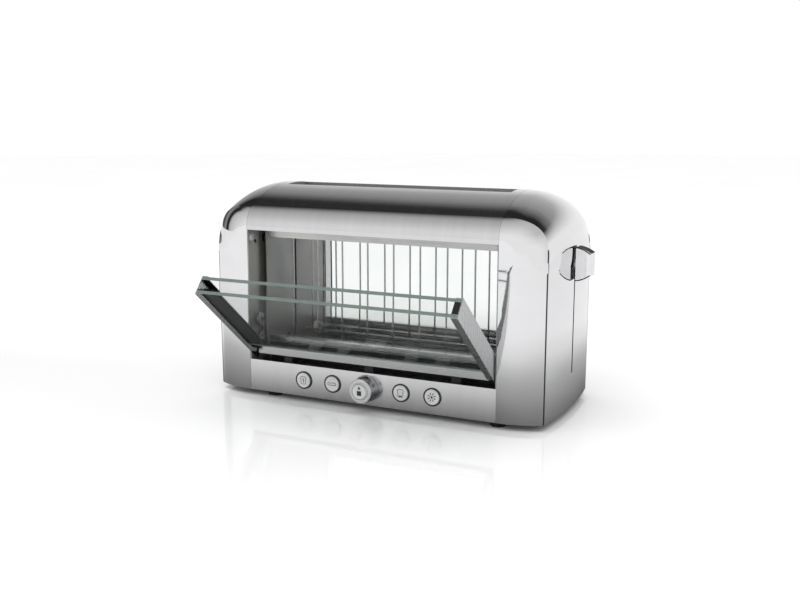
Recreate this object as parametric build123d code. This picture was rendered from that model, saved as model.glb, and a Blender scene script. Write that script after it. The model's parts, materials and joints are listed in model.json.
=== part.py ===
"""One-slot toaster with a tilting double-glazed front window. Millimetres, +Z up, +Y to the back."""

import math
import os

from build123d import *

os.makedirs("parts", exist_ok=True)

# The drawing is centred on the body. Each node is moved by this much as it is written,
# so that the origin comes under the middle of the whole object, open window and lever included.
SHIFT_X, SHIFT_Y = -6.9, 46.4

# Body
SEAM_X = 138.3  # brushed middle ends here, each end cap starts here
HALF_DEPTH = 83.1
HEIGHT = 221.0
SHELL_Z = 6.0  # underside of the body, which stands on feet of this height
SHEET = 1.2
SHELL_SHEET = 1.0
CAP_WALL = 2.0
SEAM_GAP = 0.2
PANEL_TOP = 39.2
REAR_TOP = 57.2
LIP_LENGTH, LIP_DEPTH, LIP_GAP = 3.0, 39.0, 0.4
FAN_INSET = 3.0  # from the seam to the axis that the rounded corner's sections turn about
BEYOND = 20.0  # how far a cutting block reaches past what it cuts
# Rounded corner: angle from vertical, end of the flat front, crease, crease's setback, crown
CORNER = [
    (0.0, 30.5, 50.5, 11.1, 71.0),
    (2.4, 30.53, 50.54, 11.1, 71.06),
    (18.0, 30.4, 52.5, 11.1, 71.0),
    (34.0, 28.0, 55.2, 12.1, 69.4),
    (48.0, 23.5, 55.2, 14.7, 65.3),
    (62.0, 17.5, 51.6, 14.7, 59.2),
    (76.0, 11.5, 48.2, 12.1, 54.2),
    (90.0, 7.0, 47.0, 11.1, 51.9),
]
FAN_X = SEAM_X - FAN_INSET
FAN_Z = HEIGHT - CORNER[0][4]
CAP_END = FAN_X + CORNER[-1][4]
FLOOR_Z = SHELL_Z + SHEET  # top of the base plate
FLANGE_DEPTH = 11.1
EDGE_X = SEAM_X - SEAM_GAP
PANEL_Y = HALF_DEPTH - SHEET  # inner face of the front and rear panels

# Chamber
WALL_TOP = HEIGHT - 25.0
WALL_X = SEAM_X - 6.8  # inner face of each side wall
WALL_LOW = 18.0
CHAMBER_Y = HALF_DEPTH - 26.1  # front of the front reflectors and back of the rear ones
WALL_END = CHAMBER_Y + 4.0
STRIP_X = WALL_X - 3.8
STRIP_SHEET = 0.8
HEADER_LOW = WALL_TOP - 29.3
HEADER_RETURN, LOWER_RETURN = 6.0, 5.0
LOWER_STRIP_TOP, LOWER_STRIP_LOW = 64.0, 42.0
CHUTE_Y, CHUTE_Z, CHUTE_LIP = 25.0, 37.0, 7.0  # slopes down from the lower strips to the crumb tray
TUBE_Y = CHAMBER_Y - 12.0
TUBE_TOP_Z, TUBE_LOW_Z = WALL_TOP - 16.0, 53.0
TUBE_R, TUBE_BORE, HOLDER_R = 4.75, 3.6, 7.0
TUBE_END = WALL_X - 1.0
HOLDER_END, HOLDER_LENGTH = WALL_X + 1.9, 6.9
COIL_R, LEAD_R = 1.6, 0.7

# Bread slot, guards and bread carrier
SLOT_HALF_X, SLOT_HALF_Y = SEAM_X - 11.3, 20.0
COLLAR_LOW, COLLAR_SHEET = HEIGHT - 31.0, 1.0
THROAT_LOW = WALL_TOP - 10.0
WIRE_R, GUARD_ROD_R, CROSS_WIRE_R = 0.9, 1.1, 1.0
WIRE_COUNT = 9
WIRE_PITCH = 2 * (SLOT_HALF_X - 5.8) / (WIRE_COUNT - 1)
GUARD_TRAVEL = 9.0
GUARD_TOP, GUARD_BOTTOM = WALL_TOP - 24.0, 56.0
GUARD_REACH, GUARD_SLOT = 2.5, 1.3  # past the wall's inner face; half height of its slot there
RACK_TOP = WALL_TOP - 27.4
RACK_HEIGHT, RACK_HALF_Y, RACK_WIRE_Y, RACK_REACH = 6.0, 0.9, 8.2, 3.0
RACK_SLOT_LOW, RACK_SLOT_TOP, RACK_SLOT_GAP = 46.0, WALL_TOP - 12.0, 1.0

# Lever carriage, guide rods and latch in the right end
CARRIAGE_IN, CARRIAGE_OUT, CARRIAGE_Y = SEAM_X + 2.7, SEAM_X + 17.7, 21.0
CARRIAGE_LOW, CARRIAGE_HEIGHT = RACK_TOP - 10.6, 8.0
APRON_SHEET, APRON_Y = 1.6, 9.0
GUIDE_X, GUIDE_Y, GUIDE_R = SEAM_X + 10.2, 15.0, 2.5
GUIDE_LOW, GUIDE_TOP = SHELL_Z + 20.0, WALL_TOP - 7.0
BUSH_R, BUSH_LOW, BUSH_LENGTH = 5.0, CARRIAGE_LOW - 6.0, 18.0
SPRING_R, SPRING_BORE = 4.6, 3.3
BRACKET_SHEET, BRACKET_Y = 3.0, 22.0
LEVER_Z = RACK_TOP - 17.1
STEM_HALF_Y, STEM_HALF_Z = 1.2, 4.0
STEM_GAP_Y, STEM_GAP_Z = 0.4, 2.1
ARMATURE_SHEET = 2.0
LATCH_X, LATCH_TOP, COIL_LOW, COIL_TOP = CARRIAGE_OUT + 1.0, 41.2, 28.0, 39.5
AIR_GAP = 0.3
LEVER_TRAVEL = LEVER_Z - STEM_HALF_Z - ARMATURE_SHEET - LATCH_TOP - AIR_GAP
RUN = 0.05  # running clearance on a radius

# Lever's thumb-piece: tall at the body, tapering by two arcs to its flat end
KNOB_GAP, KNOB_LENGTH = 2.4, 15.2
KNOB_TALL, KNOB_SHORT, KNOB_HALF_Y = 16.6, 10.8, 7.4
KNOB_WAIST = (21 / 38, 19 / 29)  # arc's middle, as shares of the length and of the taper
KNOB_EDGE, SOCKET_DEPTH = 0.9, 1.4
KNOB_IN = CAP_END + KNOB_GAP
KNOB_OUT = KNOB_IN + KNOB_LENGTH

# Window that tilts forward
WINDOW_TOP = HEIGHT - 44.5
DOOR_OPEN = 50.0  # degrees, as modelled
DOOR_X = SEAM_X - 1.8  # outer face of the side rails
RAIL_WIDTH, RAIL_WALL, RAIL_SHEET = 6.8, 1.0, 0.8
RAIL_IN = DOOR_X - RAIL_WIDTH
DOOR_FRONT, DOOR_BACK = -HALF_DEPTH, -HALF_DEPTH + 20.5
DOOR_LOW, DOOR_TOP = 40.5, WINDOW_TOP - 1.2
GLASS, GLASS_LOW = 3.5, 57.2
OUTER_LOW, INNER_LOW = GLASS_LOW + 13.5, GLASS_LOW - 14.2  # lower edges of the two panes
SPACER_LAP, SPACER_CUT, SEAL_HEIGHT = 0.4, 17.0, 2.0
PIVOT_Y, PIVOT_Z = -HALF_DEPTH + 8.1, 50.0
PIN_R, PIN_HEAD_R, PIN_END = 2.5, 4.0, SEAM_X + 3.7
STAY_R, STAY_SHEET, STAY_HUB_R, STAY_ARM = 34.0, 1.5, 5.5, 9.0
STAY_START, STAY_SPAN, STAY_BAND = -34.0, 58.0, 13.0  # its curved band, in degrees and mm
STAY_GAP = 0.8  # from the stays to the inner pane's notched corners
STUD_R, STUD_HEAD_R, STUD_ANGLE = 2.0, 3.2, 70.0
STUD_GAP, STUD_PLAY = 0.3, 0.4  # across its groove in mm and at each end in degrees
CHEEK_IN, CHEEK_BACK = SEAM_X - SHEET, -HALF_DEPTH + 47.1
CATCH_R, CATCH_BORE = 4.0, 2.6
CATCHES = [(-HALF_DEPTH + 5.6, WINDOW_TOP - 8.0), (-HALF_DEPTH + 28.6, WINDOW_TOP - 12.0)]
CHEEK_HOLE = (-HALF_DEPTH + 13.6, WINDOW_TOP - 13.5)
TROUGH_X, TROUGH_Z, TROUGH_LIP = DOOR_X - 3.1, PANEL_TOP - 3.0, 57.5
BAR_X, BAR_LOW, BAR_TOP = RAIL_IN - 0.5, 45.5, 54.4
BAR_FRONT, BAR_BACK = -HALF_DEPTH + 3.1, -HALF_DEPTH + 5.6
BAR_BRACKETS = (-95, 0, 95)

# Fixed rear window
REAR_X, POST_SHEET = WALL_X - 0.5, 0.8
REAR_Y = HALF_DEPTH - 20.5

# Controls
BUTTON_X = (-72.6, -38.7, 38.7, 72.6)
CONTROL_Z = 23.5
BUTTON_R, BUTTON_STEM_R, BUTTON_THICK = 7.75, 2.5, 4.7
BEZEL_R, BEZEL_BORE, BEZEL_WALL = 9.35, 8.15, 0.5
BEZEL_PROUD, BUTTON_PROUD, BEZEL_DEPTH = 1.2, 1.8, 4.1
DIAL_BACK = -HALF_DEPTH - 0.5
DIAL_FRONT = DIAL_BACK - 13.9
DIAL_R, DIAL_BASE_R, DIAL_RECESS, DIAL_RECESS_R, DIAL_BEVEL = 12.2, 13.75, 3.5, 8.8, 0.8
SHAFT_R, SHAFT_BORE, SHAFT_HOLE = 3.0, 1.3, 4.5
STOP_R, STOP_STEM_R, STOP_PROUD, STOP_THICK = 8.5, 1.2, 1.3, 3.4
BOARD_Y, BOARD_X, BOARD_SHEET = -HALF_DEPTH + 13.1, 94.0, 1.6
BOARD_LOW, BOARD_TOP, SWITCH_HALF, SWITCH_DEPTH = 10.5, 35.9, 4.5, 3.2
POST_R, POST_X, POST_Z = 2.8, 89.0, (14, 32)
POT_R, POT_BORE, POT_CLEAR = 8.5, 1.6, 3.0

# Rear panel and base
INLET_X, INLET_Z, INLET_R, INLET_FLANGE_R, INLET_BORE = -104.0, 24.0, 7.0, 9.5, 3.9
INLET_PROUD, INLET_COLLAR_R = 2.5, 8.5
VENT_X, VENT_PITCH, VENT_LENGTH, VENT_COUNT, VENT_ROWS, VENT_HEIGHT = -44.0, 14.0, 10.0, 9, (22, 32), 3.0
FOOT_R, FOOT_TOP_R, FOOT_RECESS, FOOT_SCREW_R = 7.2, 8.0, 4.0, 1.6
FOOT_Y = HALF_DEPTH - 13.1
FEET = [(-SEAM_X + 22.3, -FOOT_Y), (SEAM_X - 2.3, -FOOT_Y), (-SEAM_X + 22.3, FOOT_Y), (SEAM_X - 2.3, FOOT_Y)]
SCREW_R, SCREW_Y = 1.5, HALF_DEPTH - 7.6
SCREWS = [(x, y) for x in (-92, -32, 32, 92) for y in (-SCREW_Y, SCREW_Y)]

# Crumb tray
TRAY_Y = CHAMBER_Y - 7.0
TRAY_SHEET, TRAY_GAP, TRAY_TOP = 0.8, 0.1, 15.0
TRAY_RIGHT, TRAY_LEFT = WALL_X - 5.5, -CAP_END + 9.2
FACE_Y, FACE_TOP, FACE_GAP = TRAY_Y + 2.0, 20.0, 0.3
GUIDE_RAIL_SHEET, GUIDE_RAIL_TOP = 1.3, 17.0


def block(x0, x1, y0, y1, z0, z1):
    return Pos((x0 + x1) / 2, (y0 + y1) / 2, (z0 + z1) / 2) * Box(x1 - x0, y1 - y0, z1 - z0)


def slab(x0, x1, z0, z1):
    """Block through the whole depth, for cutting."""
    return block(x0, x1, -HALF_DEPTH - BEYOND, HALF_DEPTH + BEYOND, z0, z1)


def rod(axis, lo, hi, a, b, r, r_end=None):
    """Round bar along one axis. a and b are the other two coordinates in order."""
    length = hi - lo
    shape = Cylinder(r, length) if r_end is None else Cone(r, r_end, length)
    mid = (lo + hi) / 2
    if axis == "X":
        return Pos(mid, a, b) * Rot(0, 90, 0) * shape
    if axis == "Y":
        return Pos(a, mid, b) * Rot(-90, 0, 0) * shape
    return Pos(a, b, mid) * shape


def hole(axis, at, a, b, r):
    """Round cutter along one axis, reaching well to both sides of a place on it."""
    return rod(axis, at - BEYOND, at + BEYOND, a, b, r)


def pipe(axis, lo, hi, a, b, r, bore):
    return rod(axis, lo, hi, a, b, r) - rod(axis, lo - 1, hi + 1, a, b, bore)


def along_x(points, x0, x1):
    """Closed outline given as (y, z) points, extruded along X."""
    face = make_face(Polyline(*[(x0, y, z) for y, z in points], close=True))
    return extrude(face, amount=x1 - x0, dir=(1, 0, 0))


def join(shapes):
    """One solid from overlapping or touching pieces."""
    shapes = list(shapes)
    return shapes[0].fuse(*shapes[1:]) if len(shapes) > 1 else shapes[0]


def write(node, *shapes):
    """Writes the node's solids, each left on its own, into one STEP file."""
    solids = []
    for shape in shapes:
        solids += list(shape.solids())
    moved = [Pos(SHIFT_X, SHIFT_Y, 0) * s for s in solids]
    whole = moved[0] if len(moved) == 1 else Compound(children=moved)
    whole.label = node
    export_step(whole, f"parts/{node}.step")


def mirror_x(shape):
    return mirror(shape, about=Plane.YZ)


def mirror_y(shape):
    return mirror(shape, about=Plane.XZ)


def section(row, inset=0.0):
    """One section of the rounded corner, as a closed wire through the fan's axis."""
    angle, flat, crease, setback, crown = row
    s, c = math.sin(math.radians(angle)), math.cos(math.radians(angle))
    front, crease_y = HALF_DEPTH - inset, HALF_DEPTH - setback - inset
    crease, crown = crease - inset, crown - inset
    r = ((crease - flat) ** 2 + setback**2) / (2 * setback)
    half = math.asin((crease - flat) / r) / 2
    mid = (flat + r * math.sin(half), front - r * (1 - math.cos(half)))

    def at(rho, y):
        return (FAN_X + rho * s, y, FAN_Z + rho * c)

    return Wire(
        [
            Line(at(FAN_INSET, -front), at(flat, -front)).edge(),
            ThreePointArc(at(flat, -front), at(mid[0], -mid[1]), at(crease, -crease_y)).edge(),
            ThreePointArc(at(crease, -crease_y), at(crown, 0), at(crease, crease_y)).edge(),
            ThreePointArc(at(crease, crease_y), at(mid[0], mid[1]), at(flat, front)).edge(),
            Line(at(flat, front), at(FAN_INSET, front)).edge(),
            Line(at(FAN_INSET, front), at(FAN_INSET, -front)).edge(),
        ]
    )


def cap_volume(inset, low):
    """Everything inside the right end cap's skin, less the inset, from its seam to the end."""
    corner = Solid.make_loft([section(row, inset) for row in CORNER])
    foot = extrude(Face(section(CORNER[-1], inset)), amount=FAN_Z - low, dir=(0, 0, -1))
    return corner.fuse(foot) - slab(SEAM_X - BEYOND, SEAM_X, low - BEYOND, HEIGHT + BEYOND)


def middle_volume(inset, x0, x1):
    """The brushed middle's arched section between two X positions, down to the fan's axis."""
    face = Face(section(CORNER[0], inset))
    return Pos(x0 - FAN_X, 0, 0) * extrude(face, amount=x1 - x0, dir=(1, 0, 0))


def whole_middle(inset):
    return middle_volume(inset, -SEAM_X - BEYOND, SEAM_X + BEYOND)


# Outer shell

outer_cap = cap_volume(0.0, SHELL_Z)
inner_cap = cap_volume(CAP_WALL, SHELL_Z - 2)
cap = outer_cap - inner_cap
lip = middle_volume(SHELL_SHEET, SEAM_X - LIP_LENGTH, SEAM_X + 1)
lip -= middle_volume(CAP_WALL + LIP_GAP, SEAM_X - LIP_LENGTH - 1, SEAM_X + 2)
lip &= slab(SEAM_X - BEYOND, SEAM_X + BEYOND, HEIGHT - LIP_DEPTH, HEIGHT + BEYOND)
cap = cap.fuse(lip)
slot_y, slot_top = STEM_HALF_Y + STEM_GAP_Y, LEVER_Z + STEM_HALF_Z + 2.5
slot_low = LEVER_Z - STEM_HALF_Z - LEVER_TRAVEL - STEM_GAP_Z
lever_slot = block(CAP_END - BEYOND, CAP_END + BEYOND, -slot_y, slot_y, slot_low, slot_top)
write("end_cap_right", cap - lever_slot)
mouth_y = FACE_Y + FACE_GAP
tray_mouth = block(-CAP_END - BEYOND, -CAP_END + BEYOND, -mouth_y, mouth_y, FLOOR_Z, FACE_TOP + FACE_GAP)
write("end_cap_left", mirror_x(cap) - tray_mouth)

slot = block(-SLOT_HALF_X, SLOT_HALF_X, -SLOT_HALF_Y, SLOT_HALF_Y, COLLAR_LOW, HEIGHT + BEYOND)
skin = middle_volume(0, -EDGE_X, EDGE_X) - whole_middle(SHELL_SHEET)
skin &= slab(-SEAM_X - BEYOND, SEAM_X + BEYOND, WINDOW_TOP, HEIGHT + BEYOND)
write("top_shell", skin - slot)

throat_x, throat_y = SLOT_HALF_X - COLLAR_SHEET, SLOT_HALF_Y - COLLAR_SHEET
throat = block(-throat_x, throat_x, -throat_y, throat_y, COLLAR_LOW - BEYOND, HEIGHT + 2 * BEYOND)
write("slot_collar", (slot - throat) & whole_middle(0))

panel = block(-EDGE_X, EDGE_X, -HALF_DEPTH, -PANEL_Y, SHELL_Z, PANEL_TOP)
panel += block(-STRIP_X - 0.8, STRIP_X + 0.8, -PANEL_Y, -HALF_DEPTH + 4.6, PANEL_TOP - 1.0, PANEL_TOP)
panel += block(-EDGE_X, EDGE_X, -PANEL_Y, -HALF_DEPTH + FLANGE_DEPTH, FLOOR_Z, FLOOR_Z + SHEET)
for x in BUTTON_X:
    panel -= rod("Y", -HALF_DEPTH - 6.9, -PANEL_Y + 1.9, x, CONTROL_Z, BEZEL_BORE + BEZEL_WALL)
panel -= rod("Y", -HALF_DEPTH - 6.9, -PANEL_Y + 1.9, 0, CONTROL_Z, SHAFT_HOLE)
for x, y in SCREWS:
    panel -= hole("Z", FLOOR_Z, x, y, SCREW_R) & slab(-SEAM_X, SEAM_X, 0, CONTROL_Z - 11.5)
write("front_panel", panel)

back = block(-EDGE_X, EDGE_X, PANEL_Y, HALF_DEPTH, SHELL_Z, REAR_TOP)
back += block(-EDGE_X, EDGE_X, HALF_DEPTH - FLANGE_DEPTH, PANEL_Y, FLOOR_Z, FLOOR_Z + SHEET)
for x, y in SCREWS:
    back -= hole("Z", FLOOR_Z, x, y, SCREW_R) & slab(-SEAM_X, SEAM_X, 0, CONTROL_Z - 11.5)
back -= rod("Y", HALF_DEPTH - 3.1, HALF_DEPTH + 6.9, INLET_X, INLET_Z, INLET_R)
for i in range(VENT_COUNT):
    x = VENT_X + VENT_PITCH * i
    for z in VENT_ROWS:
        back -= block(x, x + VENT_LENGTH, PANEL_Y - 1.9, HALF_DEPTH + 6.9, z, z + VENT_HEIGHT)
write("rear_panel", back)

inlet = rod("Y", HALF_DEPTH, HALF_DEPTH + INLET_PROUD, INLET_X, INLET_Z, INLET_FLANGE_R)
inlet += rod("Y", HALF_DEPTH - 9.1, HALF_DEPTH, INLET_X, INLET_Z, INLET_R)
inlet += rod("Y", HALF_DEPTH - 13.1, HALF_DEPTH - 7.1, INLET_X, INLET_Z, INLET_COLLAR_R)
write("cord_inlet", inlet - hole("Y", HALF_DEPTH, INLET_X, INLET_Z, INLET_BORE))

base = block(-SEAM_X, SEAM_X, -PANEL_Y, PANEL_Y, SHELL_Z, FLOOR_Z)
end = extrude(Face(section(CORNER[-1], CAP_WALL)), amount=SHEET, dir=(0, 0, 1))
end = Pos(0, 0, SHELL_Z - FAN_Z) * end
base = base.fuse(end, mirror_x(end))
for x, y in SCREWS:
    base -= hole("Z", FLOOR_Z, x, y, SCREW_R)
for x, y in FEET:
    base -= hole("Z", FLOOR_Z, x, y, FOOT_SCREW_R)
for i in range(4):
    x = SEAM_X + 4.2 + 3 * i
    base -= block(x, x + 1.5, -12, 12, 0, 2 * FLOOR_Z)
for i in range(8):
    x = -SEAM_X - 22.1 + 2.9 * i
    base -= block(x, x + 1.4, -FACE_Y - 10, -FACE_Y - 2, 0, 2 * FLOOR_Z)
write("base_plate", base)

feet, screws = [], []
for x, y in FEET:
    foot = rod("Z", 0, SHELL_Z, x, y, FOOT_R, FOOT_TOP_R)
    foot -= rod("Z", -1, SHELL_Z / 2, x, y, FOOT_RECESS) + rod("Z", 0, SHELL_Z + 2, x, y, FOOT_SCREW_R)
    feet.append(foot)
    screws.append(rod("Z", 1.2, 3, x, y, 3.2) + rod("Z", 2, FLOOR_Z + 1, x, y, FOOT_SCREW_R))
write("feet", *feet)
for x, y in SCREWS:
    screws.append(rod("Z", SHELL_Z - 1.1, SHELL_Z, x, y, 3.0) + rod("Z", 5, FLOOR_Z + 2.6, x, y, SCREW_R))
write("base_screws", *screws)

# Chamber: side walls, reflectors, tubes


def chamber_wall():
    out = WALL_X + SHEET
    wall = block(WALL_X, out, -CHAMBER_Y, WALL_END, WALL_LOW, WALL_TOP)
    wall += block(WALL_X, out, -CHAMBER_Y, -TRAY_Y - 1.6, FLOOR_Z, WALL_LOW + 2)
    wall += block(WALL_X, out, TRAY_Y + 1.6, WALL_END, FLOOR_Z, WALL_LOW + 2)
    wall += block(WALL_X, CHEEK_IN - 0.3, -CHAMBER_Y, -TRAY_Y - 1.6, FLOOR_Z, FLOOR_Z + SHEET)
    half = RACK_HALF_Y + RACK_SLOT_GAP
    wall -= block(WALL_X - 2, out + 2, -half, half, RACK_SLOT_LOW, RACK_SLOT_TOP)
    for side in (-1, 1):
        far = side * (SLOT_HALF_Y + GUARD_SLOT)
        near = side * (SLOT_HALF_Y - GUARD_TRAVEL - GUARD_SLOT)
        for z in (GUARD_TOP, GUARD_BOTTOM):
            y0, y1 = min(far, near), max(far, near)
            wall -= block(WALL_X - 2, out + 2, y0, y1, z - GUARD_SLOT, z + GUARD_SLOT)
        for z in (TUBE_TOP_Z, TUBE_LOW_Z):
            wall -= hole("X", WALL_X, side * TUBE_Y, z, HOLDER_R)
    return wall


right_wall = chamber_wall()
write("chamber_walls", right_wall, mirror_x(right_wall))

front, t = -CHAMBER_Y, STRIP_SHEET
upper = block(-STRIP_X, STRIP_X, front - t, front, HEADER_LOW, WALL_TOP)
upper += block(-STRIP_X, STRIP_X, front, front + HEADER_RETURN, HEADER_LOW, HEADER_LOW + t)
upper += block(-WALL_X, WALL_X, front - t, -SLOT_HALF_Y, WALL_TOP - t, WALL_TOP)
upper += block(-SLOT_HALF_X, SLOT_HALF_X, -SLOT_HALF_Y - t, -SLOT_HALF_Y, THROAT_LOW, WALL_TOP - t)
write("upper_reflectors", upper, mirror_y(upper))

low, chute_y, chute_z = LOWER_STRIP_LOW, -CHUTE_Y, CHUTE_Z
lower = block(-STRIP_X, STRIP_X, front - t, front, low, LOWER_STRIP_TOP)
lower += block(-STRIP_X, STRIP_X, front, front + LOWER_RETURN, LOWER_STRIP_TOP - t, LOWER_STRIP_TOP)
chute = [(front, low + t), (front, low), (chute_y, chute_z), (chute_y, chute_z + t)]
lower += along_x(chute, -WALL_X, WALL_X)
chute_lip = [(0, t), (0, 0), (t, 0), (t, CHUTE_LIP), (0, CHUTE_LIP)]
lower += along_x([(chute_y + y, chute_z + z) for y, z in chute_lip], -STRIP_X, STRIP_X)
write("lower_reflectors", lower, mirror_y(lower))

tubes, filaments, holders = [], [], []
coil_end = HOLDER_END - HOLDER_LENGTH - 0.5
for y in (-TUBE_Y, TUBE_Y):
    for z in (TUBE_TOP_Z, TUBE_LOW_Z):
        tubes.append(pipe("X", -TUBE_END, TUBE_END, y, z, TUBE_R, TUBE_BORE))
        filament = rod("X", -coil_end, coil_end, y, z, COIL_R)
        filaments.append(filament + rod("X", -HOLDER_END, HOLDER_END, y, z, LEAD_R))
        holder = rod("X", HOLDER_END - HOLDER_LENGTH, HOLDER_END, y, z, HOLDER_R)
        holder -= rod("X", TUBE_END - BEYOND, TUBE_END, y, z, TUBE_R)
        holder -= hole("X", HOLDER_END, y, z, LEAD_R)
        holders += [holder, mirror_x(holder)]
write("quartz_tubes", *tubes)
write("heating_filaments", *filaments)
write("tube_holders", *holders)

# Bread guards and bread carrier

guard_x = WALL_X + GUARD_REACH
for node, y in (("bread_guard_front", -SLOT_HALF_Y), ("bread_guard_rear", SLOT_HALF_Y)):
    bars = [rod("X", -guard_x, guard_x, y, z, GUARD_ROD_R) for z in (GUARD_TOP, GUARD_BOTTOM)]
    for i in range(WIRE_COUNT):
        x = (i - (WIRE_COUNT - 1) / 2) * WIRE_PITCH
        bars.append(rod("Z", GUARD_BOTTOM, GUARD_TOP, x, y, WIRE_R))
    write(node, join(bars))

rack_low = RACK_TOP - RACK_HEIGHT
rack = block(-WALL_X - RACK_REACH, CARRIAGE_IN, -RACK_HALF_Y, RACK_HALF_Y, rack_low, RACK_TOP)
for i in range(WIRE_COUNT - 1):
    x = (i - (WIRE_COUNT - 2) / 2) * WIRE_PITCH
    rack += rod("Y", -RACK_WIRE_Y, RACK_WIRE_Y, x, RACK_TOP - 0.6, CROSS_WIRE_R)
write("bread_rack", rack)

# Lever carriage in the right end

c_low, c_top = CARRIAGE_LOW, CARRIAGE_LOW + CARRIAGE_HEIGHT
carriage = block(CARRIAGE_IN, CARRIAGE_OUT, -CARRIAGE_Y, CARRIAGE_Y, c_low, c_top)
carriage += block(CARRIAGE_IN - 1, CARRIAGE_IN + 1.5, -6, 6, c_low, c_top + 6)
carriage -= block(CARRIAGE_IN - 2, CARRIAGE_IN, -RACK_HALF_Y, RACK_HALF_Y, rack_low, RACK_TOP)
carriage += block(CARRIAGE_OUT - APRON_SHEET, CARRIAGE_OUT, -APRON_Y, APRON_Y, LEVER_Z - 5, c_low)
for y in (-GUIDE_Y, GUIDE_Y):
    carriage += pipe("Z", BUSH_LOW, BUSH_LOW + BUSH_LENGTH, GUIDE_X, y, BUSH_R, GUIDE_R + RUN)
    carriage -= hole("Z", c_low, GUIDE_X, y, GUIDE_R + RUN)
write("lever_carriage", carriage)
stem_low, stem_top = LEVER_Z - STEM_HALF_Z, LEVER_Z + STEM_HALF_Z
stem = block(CARRIAGE_OUT, KNOB_IN + SOCKET_DEPTH, -STEM_HALF_Y, STEM_HALF_Y, stem_low, stem_top)
write("lever_stem", stem)
armature = block(LATCH_X + 3, LATCH_X + 16, -7, 7, stem_low - ARMATURE_SHEET, stem_low)
write("armature_plate", armature)

waist_x = KNOB_IN + KNOB_LENGTH * KNOB_WAIST[0]
waist_z = KNOB_SHORT + (KNOB_TALL - KNOB_SHORT) * KNOB_WAIST[1]
thumb = make_face(
    [
        Line((KNOB_IN, 0, -KNOB_TALL), (KNOB_IN, 0, KNOB_TALL)),
        ThreePointArc((KNOB_IN, 0, KNOB_TALL), (waist_x, 0, waist_z), (KNOB_OUT, 0, KNOB_SHORT)),
        Line((KNOB_OUT, 0, KNOB_SHORT), (KNOB_OUT, 0, -KNOB_SHORT)),
        ThreePointArc((KNOB_OUT, 0, -KNOB_SHORT), (waist_x, 0, -waist_z), (KNOB_IN, 0, -KNOB_TALL)),
    ]
)
thumb = Pos(0, 0, LEVER_Z) * extrude(thumb, amount=KNOB_HALF_Y, dir=(0, 1, 0), both=True)
thumb = fillet(thumb.edges().group_by(Axis.X)[-1], KNOB_EDGE)
write("lever_knob", thumb - stem)

write("guide_rods", *[rod("Z", GUIDE_LOW, GUIDE_TOP, GUIDE_X, y, GUIDE_R) for y in (-GUIDE_Y, GUIDE_Y)])
brackets = []
bracket_x, high = WALL_X + SHEET, GUIDE_TOP - BRACKET_SHEET
for z0, leaf_low, leaf_top in ((high, high - 8, high), (GUIDE_LOW, GUIDE_LOW + 3, GUIDE_LOW + 17)):
    bracket = block(bracket_x, CARRIAGE_OUT, -BRACKET_Y, BRACKET_Y, z0, z0 + BRACKET_SHEET)
    bracket += block(bracket_x, bracket_x + SHEET, -BRACKET_Y, BRACKET_Y, leaf_low, leaf_top)
    for y in (-GUIDE_Y, GUIDE_Y):
        bracket -= hole("Z", z0, GUIDE_X, y, GUIDE_R)
    brackets.append(bracket)
write("guide_brackets", *brackets)
spring_low = GUIDE_LOW + BRACKET_SHEET
write("return_spring", pipe("Z", spring_low, BUSH_LOW, GUIDE_X, -GUIDE_Y, SPRING_R, SPRING_BORE))

pole = block(LATCH_X + 3.5, LATCH_X + 7.5, -5, 5, COIL_LOW - 1, LATCH_TOP)
core = block(LATCH_X + 1.5, LATCH_X + 18, -5, 5, COIL_LOW - 4, COIL_LOW - 0.5) + pole
core += block(LATCH_X + 12, LATCH_X + 16, -5, 5, COIL_LOW - 1, LATCH_TOP)
write("latch_coil", block(LATCH_X + 0.5, LATCH_X + 10.5, -8.5, 8.5, COIL_LOW, COIL_TOP) - pole)
legs = block(LATCH_X, LATCH_X + 19, -9, 9, COIL_LOW - 5.2, COIL_LOW - 4)
for x in (LATCH_X, LATCH_X + 19 - SHEET):
    legs += block(x, x + SHEET, -9, 9, FLOOR_Z, COIL_LOW - 5)
write("latch_core", core, legs)

# Tilting window, drawn shut, then opened about its pivot


def opened(shape):
    return Pos(0, PIVOT_Y, PIVOT_Z) * Rot(DOOR_OPEN, 0, 0) * Pos(0, -PIVOT_Y, -PIVOT_Z) * shape


def polar(r, angle):
    """(y, z) at a distance from the pivot, with the angle measured from straight up towards the back."""
    a = math.radians(angle)
    return (PIVOT_Y + r * math.sin(a), PIVOT_Z + r * math.cos(a))


pane_x = DOOR_X - RAIL_WALL
stay_x = pane_x - STAY_SHEET
notch_x = stay_x - STAY_GAP
rail = block(pane_x, DOOR_X, DOOR_FRONT, DOOR_BACK, DOOR_LOW, DOOR_TOP)
rail += block(RAIL_IN, pane_x, DOOR_FRONT, DOOR_FRONT + RAIL_SHEET, GLASS_LOW, DOOR_TOP)
rail += block(RAIL_IN, pane_x, DOOR_BACK - RAIL_SHEET, DOOR_BACK, GLASS_LOW, DOOR_TOP)
rail += block(RAIL_IN, notch_x, DOOR_BACK - RAIL_SHEET, DOOR_BACK, INNER_LOW, GLASS_LOW)
rail -= hole("X", DOOR_X, PIVOT_Y, PIVOT_Z, PIN_R)
write("window_rail_right", opened(rail))
write("window_rail_left", opened(mirror_x(rail)))

outer_y = DOOR_FRONT + RAIL_SHEET
inner_y = DOOR_BACK - RAIL_SHEET
gap_y0, gap_y1 = outer_y + GLASS, inner_y - GLASS
write("window_pane_outer", opened(block(-pane_x, pane_x, outer_y, gap_y0, OUTER_LOW, DOOR_TOP)))
inner = block(-pane_x, pane_x, gap_y1, inner_y, GLASS_LOW, DOOR_TOP)
inner += block(-notch_x, notch_x, gap_y1, inner_y, INNER_LOW, GLASS_LOW)
write("window_pane_inner", opened(inner))
spacer = block(RAIL_IN - SPACER_LAP, pane_x, gap_y0, gap_y1, GLASS_LOW, DOOR_TOP)
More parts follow.
